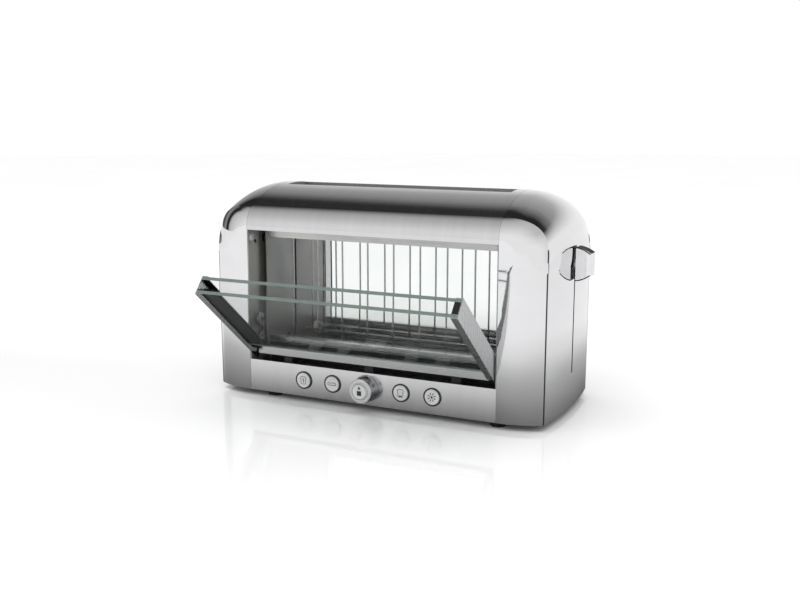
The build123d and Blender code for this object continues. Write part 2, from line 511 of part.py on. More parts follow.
# The photo shows the left one cut back in a slope at its free end.
above = DOOR_TOP + 1
slope = [(gap_y0 - 1, above), (gap_y0, DOOR_TOP), (gap_y1, DOOR_TOP - SPACER_CUT), (gap_y1 + 1, above)]
cut = along_x(slope, -DOOR_X - 2, -RAIL_IN + 2)
write("window_spacers", opened(spacer), opened(mirror_x(spacer) - cut))
seal = block(-notch_x, notch_x, gap_y1, inner_y, INNER_LOW - SEAL_HEIGHT, INNER_LOW)
write("window_bottom_seal", opened(seal))

arm = SlotArc(CenterArc((0, 0), STAY_R, STAY_START, STAY_SPAN), STAY_BAND)
arm += Rot(0, 0, -2) * Pos(STAY_R / 2, 0) * Rectangle(STAY_R, STAY_ARM)
arm += Circle(STAY_HUB_R)
groove = CenterArc((0, 0), STAY_R, 90 - STUD_ANGLE - DOOR_OPEN - STUD_PLAY, DOOR_OPEN + 2 * STUD_PLAY)
arm -= SlotArc(groove, 2 * STUD_R + STUD_GAP)
arm -= Circle(PIN_R)
stay = extrude(Plane.YZ * arm, amount=STAY_SHEET, dir=(1, 0, 0))
stay = Pos(stay_x, PIVOT_Y, PIVOT_Z) * stay
write("window_stays", opened(stay), opened(mirror_x(stay)))
pin = rod("X", stay_x, PIN_END, PIVOT_Y, PIVOT_Z, PIN_R)
pin += rod("X", stay_x - SHEET, stay_x, PIVOT_Y, PIVOT_Z, PIN_HEAD_R)
write("hinge_pins", pin, mirror_x(pin))

stud_y, stud_z = polar(STAY_R, STUD_ANGLE)
cheek = block(CHEEK_IN, SEAM_X, -HALF_DEPTH + 0.3, CHEEK_BACK, FLOOR_Z + SHEET, WINDOW_TOP)
cheek -= block(CHEEK_IN - 1, SEAM_X + 1, -HALF_DEPTH - 1, -PANEL_Y + 0.1, 0, PANEL_TOP)
cheek -= block(CHEEK_IN - 1, SEAM_X + 1, -TRAY_Y - 3, CHEEK_BACK + 1, 0, WALL_LOW + 2)
cheek -= hole("X", SEAM_X, PIVOT_Y, PIVOT_Z, PIN_R + RUN)
cheek -= hole("X", SEAM_X, stud_y, stud_z, STUD_R)
cheek -= hole("X", SEAM_X, *CHEEK_HOLE, 2.0)
write("window_cheeks", cheek, mirror_x(cheek))
stud = rod("X", stay_x - 0.2, SEAM_X, stud_y, stud_z, STUD_R)
stud += rod("X", SEAM_X, SEAM_X + SHEET, stud_y, stud_z, STUD_HEAD_R)
rivets = [stud, mirror_x(stud)]
for y, z in CATCHES:
    ring = pipe("X", CHEEK_IN - 0.5, CHEEK_IN, y, z, CATCH_R, CATCH_BORE)
    ring += rod("X", CHEEK_IN - 0.3, CHEEK_IN, y, z, 2.0)
    rivets += [ring, mirror_x(ring)]
write("cheek_rivets", *rivets)

trough_back = -CHAMBER_Y - STRIP_SHEET
trough = block(-TROUGH_X, TROUGH_X, -PANEL_Y, trough_back - t, TROUGH_Z, TROUGH_Z + t)
trough += block(-STRIP_X, STRIP_X, trough_back - t, trough_back, TROUGH_Z, TROUGH_LIP)
write("window_trough", trough)
bar = block(-BAR_X, BAR_X, BAR_FRONT, BAR_BACK, BAR_LOW, BAR_TOP)
write("sill_bar", chamfer(bar.edges().filter_by(Axis.X).group_by(Axis.Y)[0], 0.4))
bar_feet = []
for x in BAR_BRACKETS:
    low = TROUGH_Z + t
    foot = block(x - 5, x + 5, BAR_BACK, BAR_BACK + 1.4, low, BAR_TOP - 2.4)
    bar_feet.append(foot + block(x - 5, x + 5, BAR_BACK + 1.4, BAR_BACK + 11.5, low, low + 1))
write("sill_brackets", *bar_feet)

# Fixed rear window

p = POST_SHEET
post = block(REAR_X, EDGE_X, REAR_Y, HALF_DEPTH, REAR_TOP, WINDOW_TOP)
post -= block(REAR_X + p, EDGE_X - p, REAR_Y + p, HALF_DEPTH - p, REAR_TOP - 7.2, WINDOW_TOP + 3.5)
sill = block(-REAR_X, REAR_X, REAR_Y + p, PANEL_Y, REAR_TOP - 1, REAR_TOP)
write("rear_window_frame", post, mirror_x(post), sill)
panes = []
for y in (REAR_Y + p, HALF_DEPTH - p - GLASS):
    panes.append(block(-REAR_X, REAR_X, y, y + GLASS, REAR_TOP, WINDOW_TOP - 0.5))
write("rear_window_panes", *panes)

# Controls

bezels, switches = [], []
button_names = ("button_one_side", "button_bun", "button_reheat", "button_defrost")
button_front = -HALF_DEPTH - BUTTON_PROUD
button_back = button_front + BUTTON_THICK
switch_front = BOARD_Y - SWITCH_DEPTH
for name, x in zip(button_names, BUTTON_X):
    ring = rod("Y", -HALF_DEPTH - BEZEL_PROUD, -HALF_DEPTH, x, CONTROL_Z, BEZEL_R)
    ring += rod("Y", -HALF_DEPTH, -HALF_DEPTH + BEZEL_DEPTH, x, CONTROL_Z, BEZEL_BORE + BEZEL_WALL)
    bezels.append(ring - hole("Y", -HALF_DEPTH, x, CONTROL_Z, BEZEL_BORE))
    face = rod("Y", button_front, button_back, x, CONTROL_Z, BUTTON_R)
    face = chamfer(face.edges().group_by(Axis.Y)[0], 0.35)
    write(name, face + rod("Y", button_back, switch_front - 1.6, x, CONTROL_Z, BUTTON_STEM_R))
    low, top = CONTROL_Z - SWITCH_HALF, CONTROL_Z + SWITCH_HALF
    switches.append(block(x - SWITCH_HALF, x + SWITCH_HALF, switch_front, BOARD_Y, low, top))
write("button_bezels", *bezels)
write("button_switches", *switches)

knob = rod("Y", DIAL_FRONT, DIAL_BACK, 0, CONTROL_Z, DIAL_R, DIAL_BASE_R)
knob -= rod("Y", DIAL_FRONT - BEYOND, DIAL_FRONT + DIAL_RECESS, 0, CONTROL_Z, DIAL_RECESS_R)
knob -= hole("Y", DIAL_BACK, 0, CONTROL_Z, SHAFT_R)
rims = knob.edges().filter_by(GeomType.CIRCLE).group_by(Axis.Y)[0]
write("browning_knob", chamfer(rims.sort_by(SortBy.RADIUS)[-1], DIAL_BEVEL))
shaft_front = DIAL_FRONT + DIAL_RECESS
shaft_back = BOARD_Y - 6.0
write("knob_shaft", pipe("Y", shaft_front, shaft_back, 0, CONTROL_Z, SHAFT_R, SHAFT_BORE))
stop_front = DIAL_FRONT - STOP_PROUD
stop = rod("Y", stop_front, stop_front + STOP_THICK, 0, CONTROL_Z, STOP_R)
stop = chamfer(stop.edges().group_by(Axis.Y)[0], 0.4)
write("stop_button", stop + rod("Y", stop_front + STOP_THICK, shaft_back + 1, 0, CONTROL_Z, STOP_STEM_R))
pot = rod("Y", -PANEL_Y, BOARD_Y, 0, CONTROL_Z, POT_R)
pot -= rod("Y", -HALF_DEPTH - BEYOND, shaft_back + 0.2, 0, CONTROL_Z, SHAFT_R + RUN)
write("potentiometer", pot - rod("Y", -HALF_DEPTH - BEYOND, BOARD_Y - POT_CLEAR, 0, CONTROL_Z, POT_BORE))

write("control_board", block(-BOARD_X, BOARD_X, BOARD_Y, BOARD_Y + BOARD_SHEET, BOARD_LOW, BOARD_TOP))
posts = [rod("Y", -PANEL_Y, BOARD_Y, x, z, POST_R) for x in (-POST_X, POST_X) for z in POST_Z]
write("board_posts", *posts)
core_x, core_y = -SEAM_X - 21.7, HALF_DEPTH - 21.1
laminations = block(core_x - 12, core_x + 12, core_y - 6, core_y + 6, FLOOR_Z, 26)
winding = block(core_x - 8, core_x + 8, core_y - 10, core_y + 10, 10, 23) - laminations
write("transformer", laminations, winding)
terminal_y = CHAMBER_Y + 3
write("terminal_block", block(INLET_X - 2, INLET_X + 12, terminal_y - 7, terminal_y + 7, FLOOR_Z, 20))

# Crumb tray

g = TRAY_SHEET
pan_low = FLOOR_Z + TRAY_GAP
pan = block(-CAP_END - 7.8, TRAY_RIGHT, -TRAY_Y, TRAY_Y, pan_low, TRAY_TOP)
pan -= block(TRAY_LEFT, TRAY_RIGHT - g, -TRAY_Y + g, TRAY_Y - g, pan_low + g, TRAY_TOP + 5)
pan -= block(-CAP_END - BEYOND, TRAY_LEFT - g, -TRAY_Y - 10, TRAY_Y + 10, pan_low + g, TRAY_TOP + 5)
within = mirror_x(inner_cap) + block(-SEAM_X - 12, SEAM_X + 12, -HALF_DEPTH, HALF_DEPTH, 0, PANEL_TOP)
write("crumb_tray", pan & within)
face_low = FLOOR_Z + 2 * TRAY_GAP
face = block(-CAP_END - BEYOND, -CAP_END + BEYOND, -FACE_Y, FACE_Y, face_low, FACE_TOP)
face &= mirror_x(outer_cap - inner_cap)
finger_lip = block(-CAP_END - 3.8, -CAP_END + 0.6, -22, 22, 9.5, 12.0) - mirror_x(outer_cap)
write("tray_front", face, finger_lip)
guide_y = TRAY_Y + TRAY_GAP
guide = block(-WALL_X + 3.5, TRAY_RIGHT, guide_y, guide_y + GUIDE_RAIL_SHEET, FLOOR_Z, GUIDE_RAIL_TOP)
write("tray_guides", guide, mirror_y(guide))
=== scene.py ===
import json
import math

import bmesh
import bpy
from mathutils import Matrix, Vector


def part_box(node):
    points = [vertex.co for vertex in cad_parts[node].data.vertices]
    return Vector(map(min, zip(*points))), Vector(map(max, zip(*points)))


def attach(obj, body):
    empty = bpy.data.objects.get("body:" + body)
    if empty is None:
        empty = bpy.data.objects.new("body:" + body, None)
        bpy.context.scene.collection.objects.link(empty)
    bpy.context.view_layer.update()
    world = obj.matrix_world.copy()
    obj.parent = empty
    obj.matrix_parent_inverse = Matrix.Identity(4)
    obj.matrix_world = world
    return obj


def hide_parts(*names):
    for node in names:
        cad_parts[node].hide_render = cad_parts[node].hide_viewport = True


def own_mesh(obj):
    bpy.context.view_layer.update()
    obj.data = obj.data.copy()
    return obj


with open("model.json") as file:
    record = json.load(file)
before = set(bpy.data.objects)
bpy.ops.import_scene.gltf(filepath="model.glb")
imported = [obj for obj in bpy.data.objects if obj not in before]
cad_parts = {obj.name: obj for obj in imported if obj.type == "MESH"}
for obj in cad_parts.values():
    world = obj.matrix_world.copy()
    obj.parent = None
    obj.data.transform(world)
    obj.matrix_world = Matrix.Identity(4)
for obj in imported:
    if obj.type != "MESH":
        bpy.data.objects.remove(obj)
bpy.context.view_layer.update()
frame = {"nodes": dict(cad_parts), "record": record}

MM = 0.001

# The drawing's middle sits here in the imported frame. Lengths below are millimetres from that middle.
DRAWING_X, DRAWING_Y = -6.9, 46.4
HALF_DEPTH = 83.1
CONTROL_Z = 23.5
BUTTONS = {"one_side": -72.6, "bun": -38.7, "reheat": 38.7, "defrost": 72.6}
BUTTON_FACE = -84.9
DIAL_FACE, DIAL_BACK = -97.5, -83.6
DIAL_R, DIAL_BASE_R = 12.2, 13.75
STOP_FACE = -98.8
INK_THICK = 0.05
WINDOW_TILT = math.radians(50)


def place(x, y, z):
    """A spot of the drawing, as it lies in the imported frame."""
    return Vector(((x + DRAWING_X) * MM, (y + DRAWING_Y) * MM, z * MM))


def srgb(hex_colour):
    """Linear RGBA of a colour written as sRGB hex."""
    parts = [int(hex_colour[i : i + 2], 16) / 255 for i in (0, 2, 4)]
    linear = [c / 12.92 if c <= 0.04045 else ((c + 0.055) / 1.055) ** 2.4 for c in parts]
    return (*linear, 1.0)


WHITE = srgb("FFFFFF")


def add(tree, kind, inputs=None, **settings):
    """Adds one node with its settings. An input is a value, another node's output, or a node, which stands
    for its first output."""
    node = tree.nodes.new(kind)
    for name, value in settings.items():
        setattr(node, name, value)
    for socket, given in (inputs or {}).items():
        if isinstance(given, bpy.types.Node):
            given = given.outputs[0]
        if isinstance(given, bpy.types.NodeSocket):
            tree.links.new(given, node.inputs[socket])
        else:
            node.inputs[socket].default_value = given
    return node


def new_material(name):
    material = bpy.data.materials.new(name)
    material.use_nodes = True
    tree = material.node_tree
    tree.nodes.clear()
    return material, tree


def stretched(tree, sizes_mm, rotation=(0, 0, 0)):
    """Object coordinates divided by a pattern's real size along each axis."""
    coords = add(tree, "ShaderNodeTexCoord").outputs["Object"]
    scale = [1 / (size * MM) for size in sizes_mm]
    return add(tree, "ShaderNodeMapping", {"Vector": coords, "Rotation": rotation, "Scale": scale})


def uneven(tree, sizes_mm, detail=3.0, rough=0.5, rotation=(0, 0, 0)):
    """Marks of a real size along each axis, without order."""
    coords = stretched(tree, sizes_mm, rotation)
    spots = {"Vector": coords, "Scale": 1.0, "Detail": detail, "Roughness": rough}
    return add(tree, "ShaderNodeTexNoise", spots)


# Marks lie mostly between these values, which become the ends of what the marks change
MARK_ENDS = {"From Min": 0.3, "From Max": 0.7}


def two_tones(tree, marks, first, second):
    """Colour that goes with the marks from one sRGB colour to another."""
    share = add(tree, "ShaderNodeMapRange", {"Value": marks, **MARK_ENDS})
    tones = {0: share, 6: srgb(first), 7: srgb(second)}
    return add(tree, "ShaderNodeMix", tones, data_type="RGBA").outputs[2]


def marked(tree, marks, tones, roughness, raised_mm, tint=None, raised=None, over=None):
    """What a surface's marks give its shader. They change its roughness, and its colour and height where
    tint and raised don't name other marks for these. over is a normal that the marks lie on."""
    rough_ends = {"To Min": roughness[0], "To Max": roughness[1]}
    rough = add(tree, "ShaderNodeMapRange", {"Value": marks, **MARK_ENDS, **rough_ends})
    height = {"Height": raised or marks, "Strength": 1.0, "Distance": raised_mm * MM}
    if over:
        height["Normal"] = over
    normal = add(tree, "ShaderNodeBump", height)
    return {"Base Color": two_tones(tree, tint or marks, *tones), "Roughness": rough, "Normal": normal}


def surface(tree, inputs):
    shader = add(tree, "ShaderNodeBsdfPrincipled", inputs)
    add(tree, "ShaderNodeOutputMaterial", {"Surface": shader})


# Materials

# The real sizes of marks that comments name are typical of each finish and come from memory, since the
# photograph is too coarse to show them. How coarsely the marks are drawn was set one by one.


def mirror_polished_stainless():
    """Stainless steel sheet, drawn and mirror polished: sharp reflections, faint wiping smears."""
    material, tree = new_material("mirror_polished_stainless")
    smears = uneven(tree, (60, 60, 18), 4.0, 0.6)
    peel = uneven(tree, (7, 7, 7), 1.0)
    skin = marked(tree, smears, ("DFDFE0", "E4E4E5"), (0.05, 0.08), 0.0001, raised=peel)
    surface(tree, {**skin, "Metallic": 1.0})
    return material


def brushed_stainless(name, smooth, dull, lean=0.0):
    """Stainless steel sheet, belt brushed up and over the arch: soft reflections under fine upright lines.
    Real lines are 0.1 mm apart. They are drawn 0.9 mm apart, because finer ones don't show. lean, in
    degrees, lets a flat sheet mirror as if it leaned back a little, as one that was pressed hollow does."""
    material, tree = new_material(name)
    lines = uneven(tree, (0.9, 120, 120), 3.0, 0.7)
    bands = uneven(tree, (9, 300, 300), 2.0)
    both = add(tree, "ShaderNodeMath", {0: lines, 1: bands}, operation="ADD")
    tint = add(tree, "ShaderNodeMath", {0: both, 1: 0.5}, operation="MULTIPLY")

    coords = add(tree, "ShaderNodeTexCoord").outputs["Object"]
    up = add(tree, "ShaderNodeSeparateXYZ", {"Vector": coords}).outputs["Z"]
    slope = add(tree, "ShaderNodeMath", {0: up, 1: -math.tan(math.radians(lean))}, operation="MULTIPLY")
    leaning = add(tree, "ShaderNodeBump", {"Height": slope, "Strength": 1.0, "Distance": 1.0})

    skin = marked(tree, lines, ("CFCFD0", "D5D5D6"), (smooth, dull), 0.0008, tint=tint, over=leaning)
    surface(tree, {**skin, "Metallic": 1.0})
    return material


def satin_strip_stainless(name, sizes_mm, rotation=(0, 0, 0)):
    """Stainless steel strip, finely brushed along its length, a little darker than the shell. Lines of
    0.1 mm are drawn 1 mm apart, so that they show."""
    material, tree = new_material(name)
    lines = uneven(tree, sizes_mm, 3.0, 0.7, rotation)
    skin = marked(tree, lines, ("BFC0C1", "C6C7C7"), (0.22, 0.3), 0.0006)
    surface(tree, {**skin, "Metallic": 1.0})
    return material


def mill_finish_stainless():
    """Rolled stainless steel inside the chamber: dull, with a faint straw tint where heat reaches it.
    Rolling lines of 0.2 mm are drawn 1.4 mm apart, so that they show."""
    material, tree = new_material("mill_finish_stainless")
    rolled = uneven(tree, (1.4, 40, 40))
    heat = uneven(tree, (90, 60, 45), 2.0)
    skin = marked(tree, rolled, ("96979A", "A19F9A"), (0.36, 0.5), 0.004, tint=heat)
    surface(tree, {**skin, "Metallic": 0.7})
    return material


def bright_aluminised_steel():
    """Aluminised steel reflector, rolled: bright, with soft rolling marks and patches that heat has dulled.
    Marks of 0.3 mm are drawn 1.6 mm apart, so that they show."""
    material, tree = new_material("bright_aluminised_steel")
    rolled = uneven(tree, (60, 1.6, 1.6))
    heat = uneven(tree, (70, 40, 40), 2.0)
    skin = marked(tree, rolled, ("AFAFB0", "BCBBB8"), (0.2, 0.32), 0.004, tint=heat)
    surface(tree, {**skin, "Metallic": 1.0})
    return material


def nickel_plated_steel():
    """Nickel plated steel, for wires, rods and small fittings: bright with small dull specks. Specks of
    0.2 mm are drawn 0.8 mm wide, so that they show."""
    material, tree = new_material("nickel_plated_steel")
    specks = uneven(tree, (0.8, 0.8, 0.8), 3.0, 0.6)
    skin = marked(tree, specks, ("A9A9AA", "BFBFBF"), (0.18, 0.34), 0.004)
    surface(tree, {**skin, "Metallic": 1.0})
    return material


def oil_hardened_spring_steel():
    """Oil hardened spring steel wire: dark, slightly blue, with faint drawing marks. Marks of 0.1 mm are
    drawn 0.5 mm wide, so that they show."""
    material, tree = new_material("oil_hardened_spring_steel")
    drawn = uneven(tree, (0.5, 0.5, 0.5))
    skin = marked(tree, drawn, ("55585E", "6E7177"), (0.25, 0.4), 0.004)
    surface(tree, {**skin, "Metallic": 1.0})
    return material


def oxidised_heating_alloy():
    """Iron chrome aluminium resistance wire, drawn and then heated: dull grey brown oxide skin. Its grain of
    0.1 mm is drawn 0.6 mm wide, so that it shows."""
    material, tree = new_material("oxidised_heating_alloy")
    oxide = uneven(tree, (0.6, 0.6, 0.6), 4.0)
    skin = marked(tree, oxide, ("4D4640", "6A625A"), (0.5, 0.7), 0.01)
    surface(tree, {**skin, "Metallic": 1.0})
    return material


# How often a wave pattern repeats in one unit: along an axis, and on a flat board that it crosses at a slant
WAVES_ALONG, WAVES_SLANTED = 20 / math.tau, 10 * math.sqrt(2) / math.tau


def enamelled_copper_wire():
    """Copper wire in varnish, wound in close turns. Real turns are 0.3 mm apart. They are drawn 1.2 mm
    apart, because finer ones don't show."""
    material, tree = new_material("enamelled_copper_wire")
    coords = stretched(tree, [1.2 * WAVES_ALONG] * 3)
    wound = {"Vector": coords, "Scale": 1.0, "Distortion": 0.4, "Detail": 1.0}
    turns = add(tree, "ShaderNodeTexWave", wound, bands_direction="Z").outputs["Fac"]
    skin = marked(tree, turns, ("7A3F1E", "B86B38"), (0.42, 0.26), 0.15)
    surface(tree, {**skin, "Metallic": 1.0, "Coat Weight": 0.4})
    return material


def unglazed_steatite():
    """Pressed and fired steatite, unglazed: off-white, matt, with a fine grain. Grains of 0.2 mm are drawn
    0.7 mm wide, so that they show."""
    material, tree = new_material("unglazed_steatite")
    grain = uneven(tree, (0.7, 0.7, 0.7), 4.0)
    skin = marked(tree, grain, ("D6D0C0", "E4DFD2"), (0.6, 0.75), 0.03)
    surface(tree, {**skin, "IOR": 1.6})
    return material


def drawn_fused_quartz():
    """Fused quartz tube, drawn: clear with a slight frost and long drawing lines. Lines of 0.3 mm are drawn
    1.2 mm apart, so that they show."""
    material, tree = new_material("drawn_fused_quartz")
    drawn = uneven(tree, (80, 1.2, 1.2), 2.0)
    skin = marked(tree, drawn, ("F1F3F4", "FBFCFC"), (0.06, 0.16), 0.01)
    surface(tree, {**skin, "IOR": 1.458, "Transmission Weight": 1.0})
    return material


def ground_edge_float_glass():
    """Float glass, 3.5 mm, clear on its faces. The photograph shows hardly any mirror images in the panes,
    so the IOR is set below plain glass's, as if they were coated. Their ground edges look grey green and
    dull. Grinding marks of 0.2 mm are drawn 1.2 mm wide, so that they show."""
    material, tree = new_material("ground_edge_float_glass")
    upright = add(tree, "ShaderNodeTexCoord").outputs["Normal"]
    turn_back = {"Vector": upright, "Rotation": (-WINDOW_TILT, 0, 0)}
    tilted = add(tree, "ShaderNodeMapping", turn_back, vector_type="NORMAL")
    most = 0.0
    for across_pane in (tilted, upright):
        along = add(tree, "ShaderNodeSeparateXYZ", {"Vector": across_pane}).outputs["Y"]
        size = add(tree, "ShaderNodeMath", {0: along}, operation="ABSOLUTE")
        most = add(tree, "ShaderNodeMath", {0: size, 1: most}, operation="MAXIMUM")
    face_ends = {"From Min": 0.9, "From Max": 0.97, "To Min": 1.0, "To Max": 0.0}
    edge = add(tree, "ShaderNodeMapRange", {"Value": most, **face_ends})

    grind = uneven(tree, (1.2, 1.2, 1.2))
    waves = uneven(tree, (45, 45, 45), 1.0)
    ground = two_tones(tree, grind, "6F7B77", "8C9894")
    clear = two_tones(tree, waves, "FBFDFC", "FEFFFE")
    colour = add(tree, "ShaderNodeMix", {0: edge, 6: clear, 7: ground}, data_type="RGBA")
    clear_ends = {"To Min": 1.0, "To Max": 0.25}
    skin = {
        "Base Color": colour.outputs[2],
        "Roughness": add(tree, "ShaderNodeMath", {0: edge, 1: 0.35}, operation="MULTIPLY"),
        "Transmission Weight": add(tree, "ShaderNodeMapRange", {"Value": edge, **clear_ends}),
        "Normal": add(tree, "ShaderNodeBump", {"Height": grind, "Strength": 1.0, "Distance": 0.003 * MM}),
    }
    surface(tree, {**skin, "IOR": 1.2, "Specular IOR Level": 0.18})
    return material


def moulded_black_rubber():
    """EPDM rubber, moulded: matt black with a fine bloom in patches of 1.5 mm."""
    material, tree = new_material("moulded_black_rubber")
    bloom = uneven(tree, (1.5, 1.5, 1.5), 4.0)
    surface(tree, marked(tree, bloom, ("0E0E0E", "19191A"), (0.6, 0.8), 0.02))
    return material


def moulded_black_nylon():
    """Glass filled nylon, moulded with a spark eroded texture that keeps it a deep, dull black. Its grain of
    0.2 mm is drawn 0.8 mm wide, so that it shows."""
    material, tree = new_material("moulded_black_nylon")
    grain = uneven(tree, (0.8, 0.8, 0.8))
    skin = marked(tree, grain, ("0B0B0C", "151617"), (0.45, 0.6), 0.03)
    surface(tree, {**skin, "IOR": 1.53, "Specular IOR Level": 0.2})
    return material


def sprayed_black_stove_paint():
    """Heat resistant silicone paint, sprayed on steel: near black, half gloss, with an orange peel of
    1.6 mm."""
    material, tree = new_material("sprayed_black_stove_paint")
    peel = uneven(tree, (1.6, 1.6, 1.6), 2.0)
    dust = uneven(tree, (14, 14, 14), 4.0)
    surface(tree, marked(tree, dust, ("0B0B0C", "151516"), (0.45, 0.6), 0.01, raised=peel))
    return material


def facing(tree, axes, start, end):
    """1 where the surface faces along one of some signed axes, such as "-X", and 0 where it faces away."""
    normal = add(tree, "ShaderNodeTexCoord").outputs["Normal"]
    split = add(tree, "ShaderNodeSeparateXYZ", {"Vector": normal})
    most = -1.0
    for sign, axis in axes:
        signed = {0: split.outputs[axis], 1: -1.0 if sign == "-" else 1.0}
        along = add(tree, "ShaderNodeMath", signed, operation="MULTIPLY")
        most = add(tree, "ShaderNodeMath", {0: along, 1: most}, operation="MAXIMUM")
    return add(tree, "ShaderNodeMapRange", {"Value": most, "From Min": start, "From Max": end})


def polished_plates_with_painted_dark_faces():
    """Thumb-piece: polished stainless plates with black faces on top, below and towards the body, which
    outline the bright plates. The black is a painted dark reflection on top, a painted shadow line below and
    painted shade on the inner face. Its grain of 0.2 mm is drawn 0.8 mm wide, so that it shows."""
    material, tree = new_material("polished_plates_with_painted_dark_faces")
    # Painted dark reflection and shade: black where the thumb-piece faces up, down and towards the body
    painted_dark_faces = facing(tree, ("+Z", "-Z", "-X"), 0.55, 0.65)
    grain = uneven(tree, (0.8, 0.8, 0.8))
    smears = uneven(tree, (25, 25, 10))
    plate = marked(tree, smears, ("DFDFE0", "E6E6E7"), (0.05, 0.1), 0.0006, raised=grain)
    black = two_tones(tree, grain, "0A0A0B", "131315")
    colour = add(tree, "ShaderNodeMix", {0: painted_dark_faces, 6: plate["Base Color"], 7: black}, data_type="RGBA")
    duller = {0: painted_dark_faces, 1: 0.4, 2: plate["Roughness"]}
    shine_ends = {"To Min": 0.5, "To Max": 0.15}
    skin = {
        "Base Color": colour.outputs[2],
        "Metallic": add(tree, "ShaderNodeMapRange", {"Value": painted_dark_faces, "To Min": 1.0, "To Max": 0.0}),
        "Specular IOR Level": add(tree, "ShaderNodeMapRange", {"Value": painted_dark_faces, **shine_ends}),
        "Roughness": add(tree, "ShaderNodeMath", duller, operation="MULTIPLY_ADD"),
        "Normal": plate["Normal"],
    }
    surface(tree, skin)
    return material


def turned_aluminium_with_silver_face():
    """Dial: turned aluminium, bright along its side, with a satin silver paint on its front face. Turning
    lines of 0.2 mm are drawn 0.9 mm apart and paint flakes of 0.1 mm as 0.5 mm, so that they show."""
    material, tree = new_material("turned_aluminium_with_silver_face")
    face = facing(tree, ("-Y",), 0.5, 0.8)
    flakes = uneven(tree, (0.5, 0.5, 0.5), 3.0, 0.7)
    turned = uneven(tree, (40, 0.9, 40), 2.0)
    side = marked(tree, turned, ("9A9A9C", "B2B2B4"), (0.16, 0.24), 0.002)
    paint = two_tones(tree, flakes, "CFCFD1", "DEDEDF")
    colour = add(tree, "ShaderNodeMix", {0: face, 6: side["Base Color"], 7: paint}, data_type="RGBA")
    duller = {0: face, 1: 0.2, 2: side["Roughness"]}
    skin = {
        "Base Color": colour.outputs[2],
        "Metallic": add(tree, "ShaderNodeMapRange", {"Value": face, "To Min": 1.0, "To Max": 0.3}),
        "Roughness": add(tree, "ShaderNodeMath", duller, operation="MULTIPLY_ADD"),
        "Normal": side["Normal"],
    }
    surface(tree, skin)
    return material


def moulded_pale_abs():
    """ABS, moulded in pale grey with a fine satin texture. Its grain of 0.2 mm is drawn 0.6 mm wide, so that
    it shows."""
    material, tree = new_material("moulded_pale_abs")
    grain = uneven(tree, (0.6, 0.6, 0.6))
    shade = uneven(tree, (12, 12, 12), 2.0)
    skin = marked(tree, grain, ("D2D2D3", "DEDEDE"), (0.32, 0.45), 0.008, tint=shade)
    surface(tree, {**skin, "IOR": 1.54})
    return material


def green_circuit_board():
    """Woven glass in epoxy, under green solder mask. Real threads are 0.5 mm apart. They are drawn 2.5 mm
    apart, so that the weave just shows."""
    material, tree = new_material("green_circuit_board")
    coords = stretched(tree, [2.5 * WAVES_SLANTED] * 3)
    woven = {"Vector": coords, "Scale": 1.0, "Distortion": 0.6, "Detail": 2.0}
    weave = add(tree, "ShaderNodeTexWave", woven, bands_direction="DIAGONAL").outputs["Fac"]
    skin = marked(tree, weave, ("1D4A2E", "2A5F3C"), (0.25, 0.35), 0.02)
    surface(tree, {**skin, "Coat Weight": 0.3})
    return material


def black_chromed_brass():
    """Brass rings, turned and plated in black chrome: dark grey, half bright, with fine turning marks. Marks
    of 0.1 mm are drawn 0.7 mm wide, so that they show."""
    material, tree = new_material("black_chromed_brass")
    turned = uneven(tree, (0.7, 0.7, 0.7))
    skin = marked(tree, turned, ("4A4A4C", "5B5B5D"), (0.2, 0.32), 0.003)
    surface(tree, {**skin, "Metallic": 1.0})
    return material


def painted_crease_shade():
    """Painted shade for the dark line down the end caps' corner creases: near black, half gloss, a little
    uneven along the crease, in streaks 9 mm long."""
    material, tree = new_material("painted_crease_shade")
    unevenness = uneven(tree, (2.0, 2.0, 9.0))
    surface(tree, marked(tree, unevenness, ("1A1A1B", "2A2A2B"), (0.3, 0.45), 0.03))
    return material


def screen_printed_ink():
    """Charcoal screen printing ink: matt, with a slightly broken cover. Breaks of 0.1 mm are drawn 0.4 mm
    wide, so that they show."""
    material, tree = new_material("screen_printed_ink")
    cover = uneven(tree, (0.4, 0.4, 0.4))
    surface(tree, marked(tree, cover, ("1C1D1F", "2E2F31"), (0.5, 0.65), 0.01))
    return material


FINISH = {
    "polished_steel": mirror_polished_stainless(),
    "brushed_steel": brushed_stainless("brushed_shell_stainless", 0.12, 0.17),
    "rail_steel": satin_strip_stainless("satin_rail_stainless", (1.0, 1.0, 60), (-WINDOW_TILT, 0, 0)),
    "inner_steel": mill_finish_stainless(),
    "reflector": bright_aluminised_steel(),
    "plain_steel": nickel_plated_steel(),
    "spring_steel": oil_hardened_spring_steel(),
    "filament": oxidised_heating_alloy(),
    "copper": enamelled_copper_wire(),
    "ceramic": unglazed_steatite(),
    "quartz": drawn_fused_quartz(),
    "glass": ground_edge_float_glass(),
    "black_rubber": moulded_black_rubber(),
    "black_plastic": moulded_black_nylon(),
    "black_paint": sprayed_black_stove_paint(),
    "silver_plastic": turned_aluminium_with_silver_face(),
    "pale_plastic": moulded_pale_abs(),
    "board": green_circuit_board(),
}
INK = screen_printed_ink()
# Painted shade for the dark line down the end caps' corner creases
CREASE_SHADE = painted_crease_shade()

# Pieces whose finish differs from the others of their metal
LOCAL_FINISH = {
    "front_panel": brushed_stainless("brushed_panel_stainless", 0.16, 0.22, lean=4.8),
    "sill_bar": satin_strip_stainless("satin_bar_stainless", (60, 1.0, 1.0)),
    "rear_window_frame": satin_strip_stainless("satin_frame_stainless", (60, 1.0, 1.0)),
    "button_bezels": black_chromed_brass(),
    "lever_knob": polished_plates_with_painted_dark_faces(),
}

for subpart in frame["record"]["subparts"]:
    node = subpart["node"]
    for held in frame["nodes"][node].material_slots:
        held.material = LOCAL_FINISH.get(node, FINISH[subpart["material_slot"]])


# Meshes


def add_piece(name, mesh, material, body):
    """A piece of its own, which rides on a body and takes one material."""
    piece = bpy.data.objects.new(name, mesh)
    bpy.context.scene.collection.objects.link(piece)
    mesh.materials.append(material)
    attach(piece, body)
    return piece


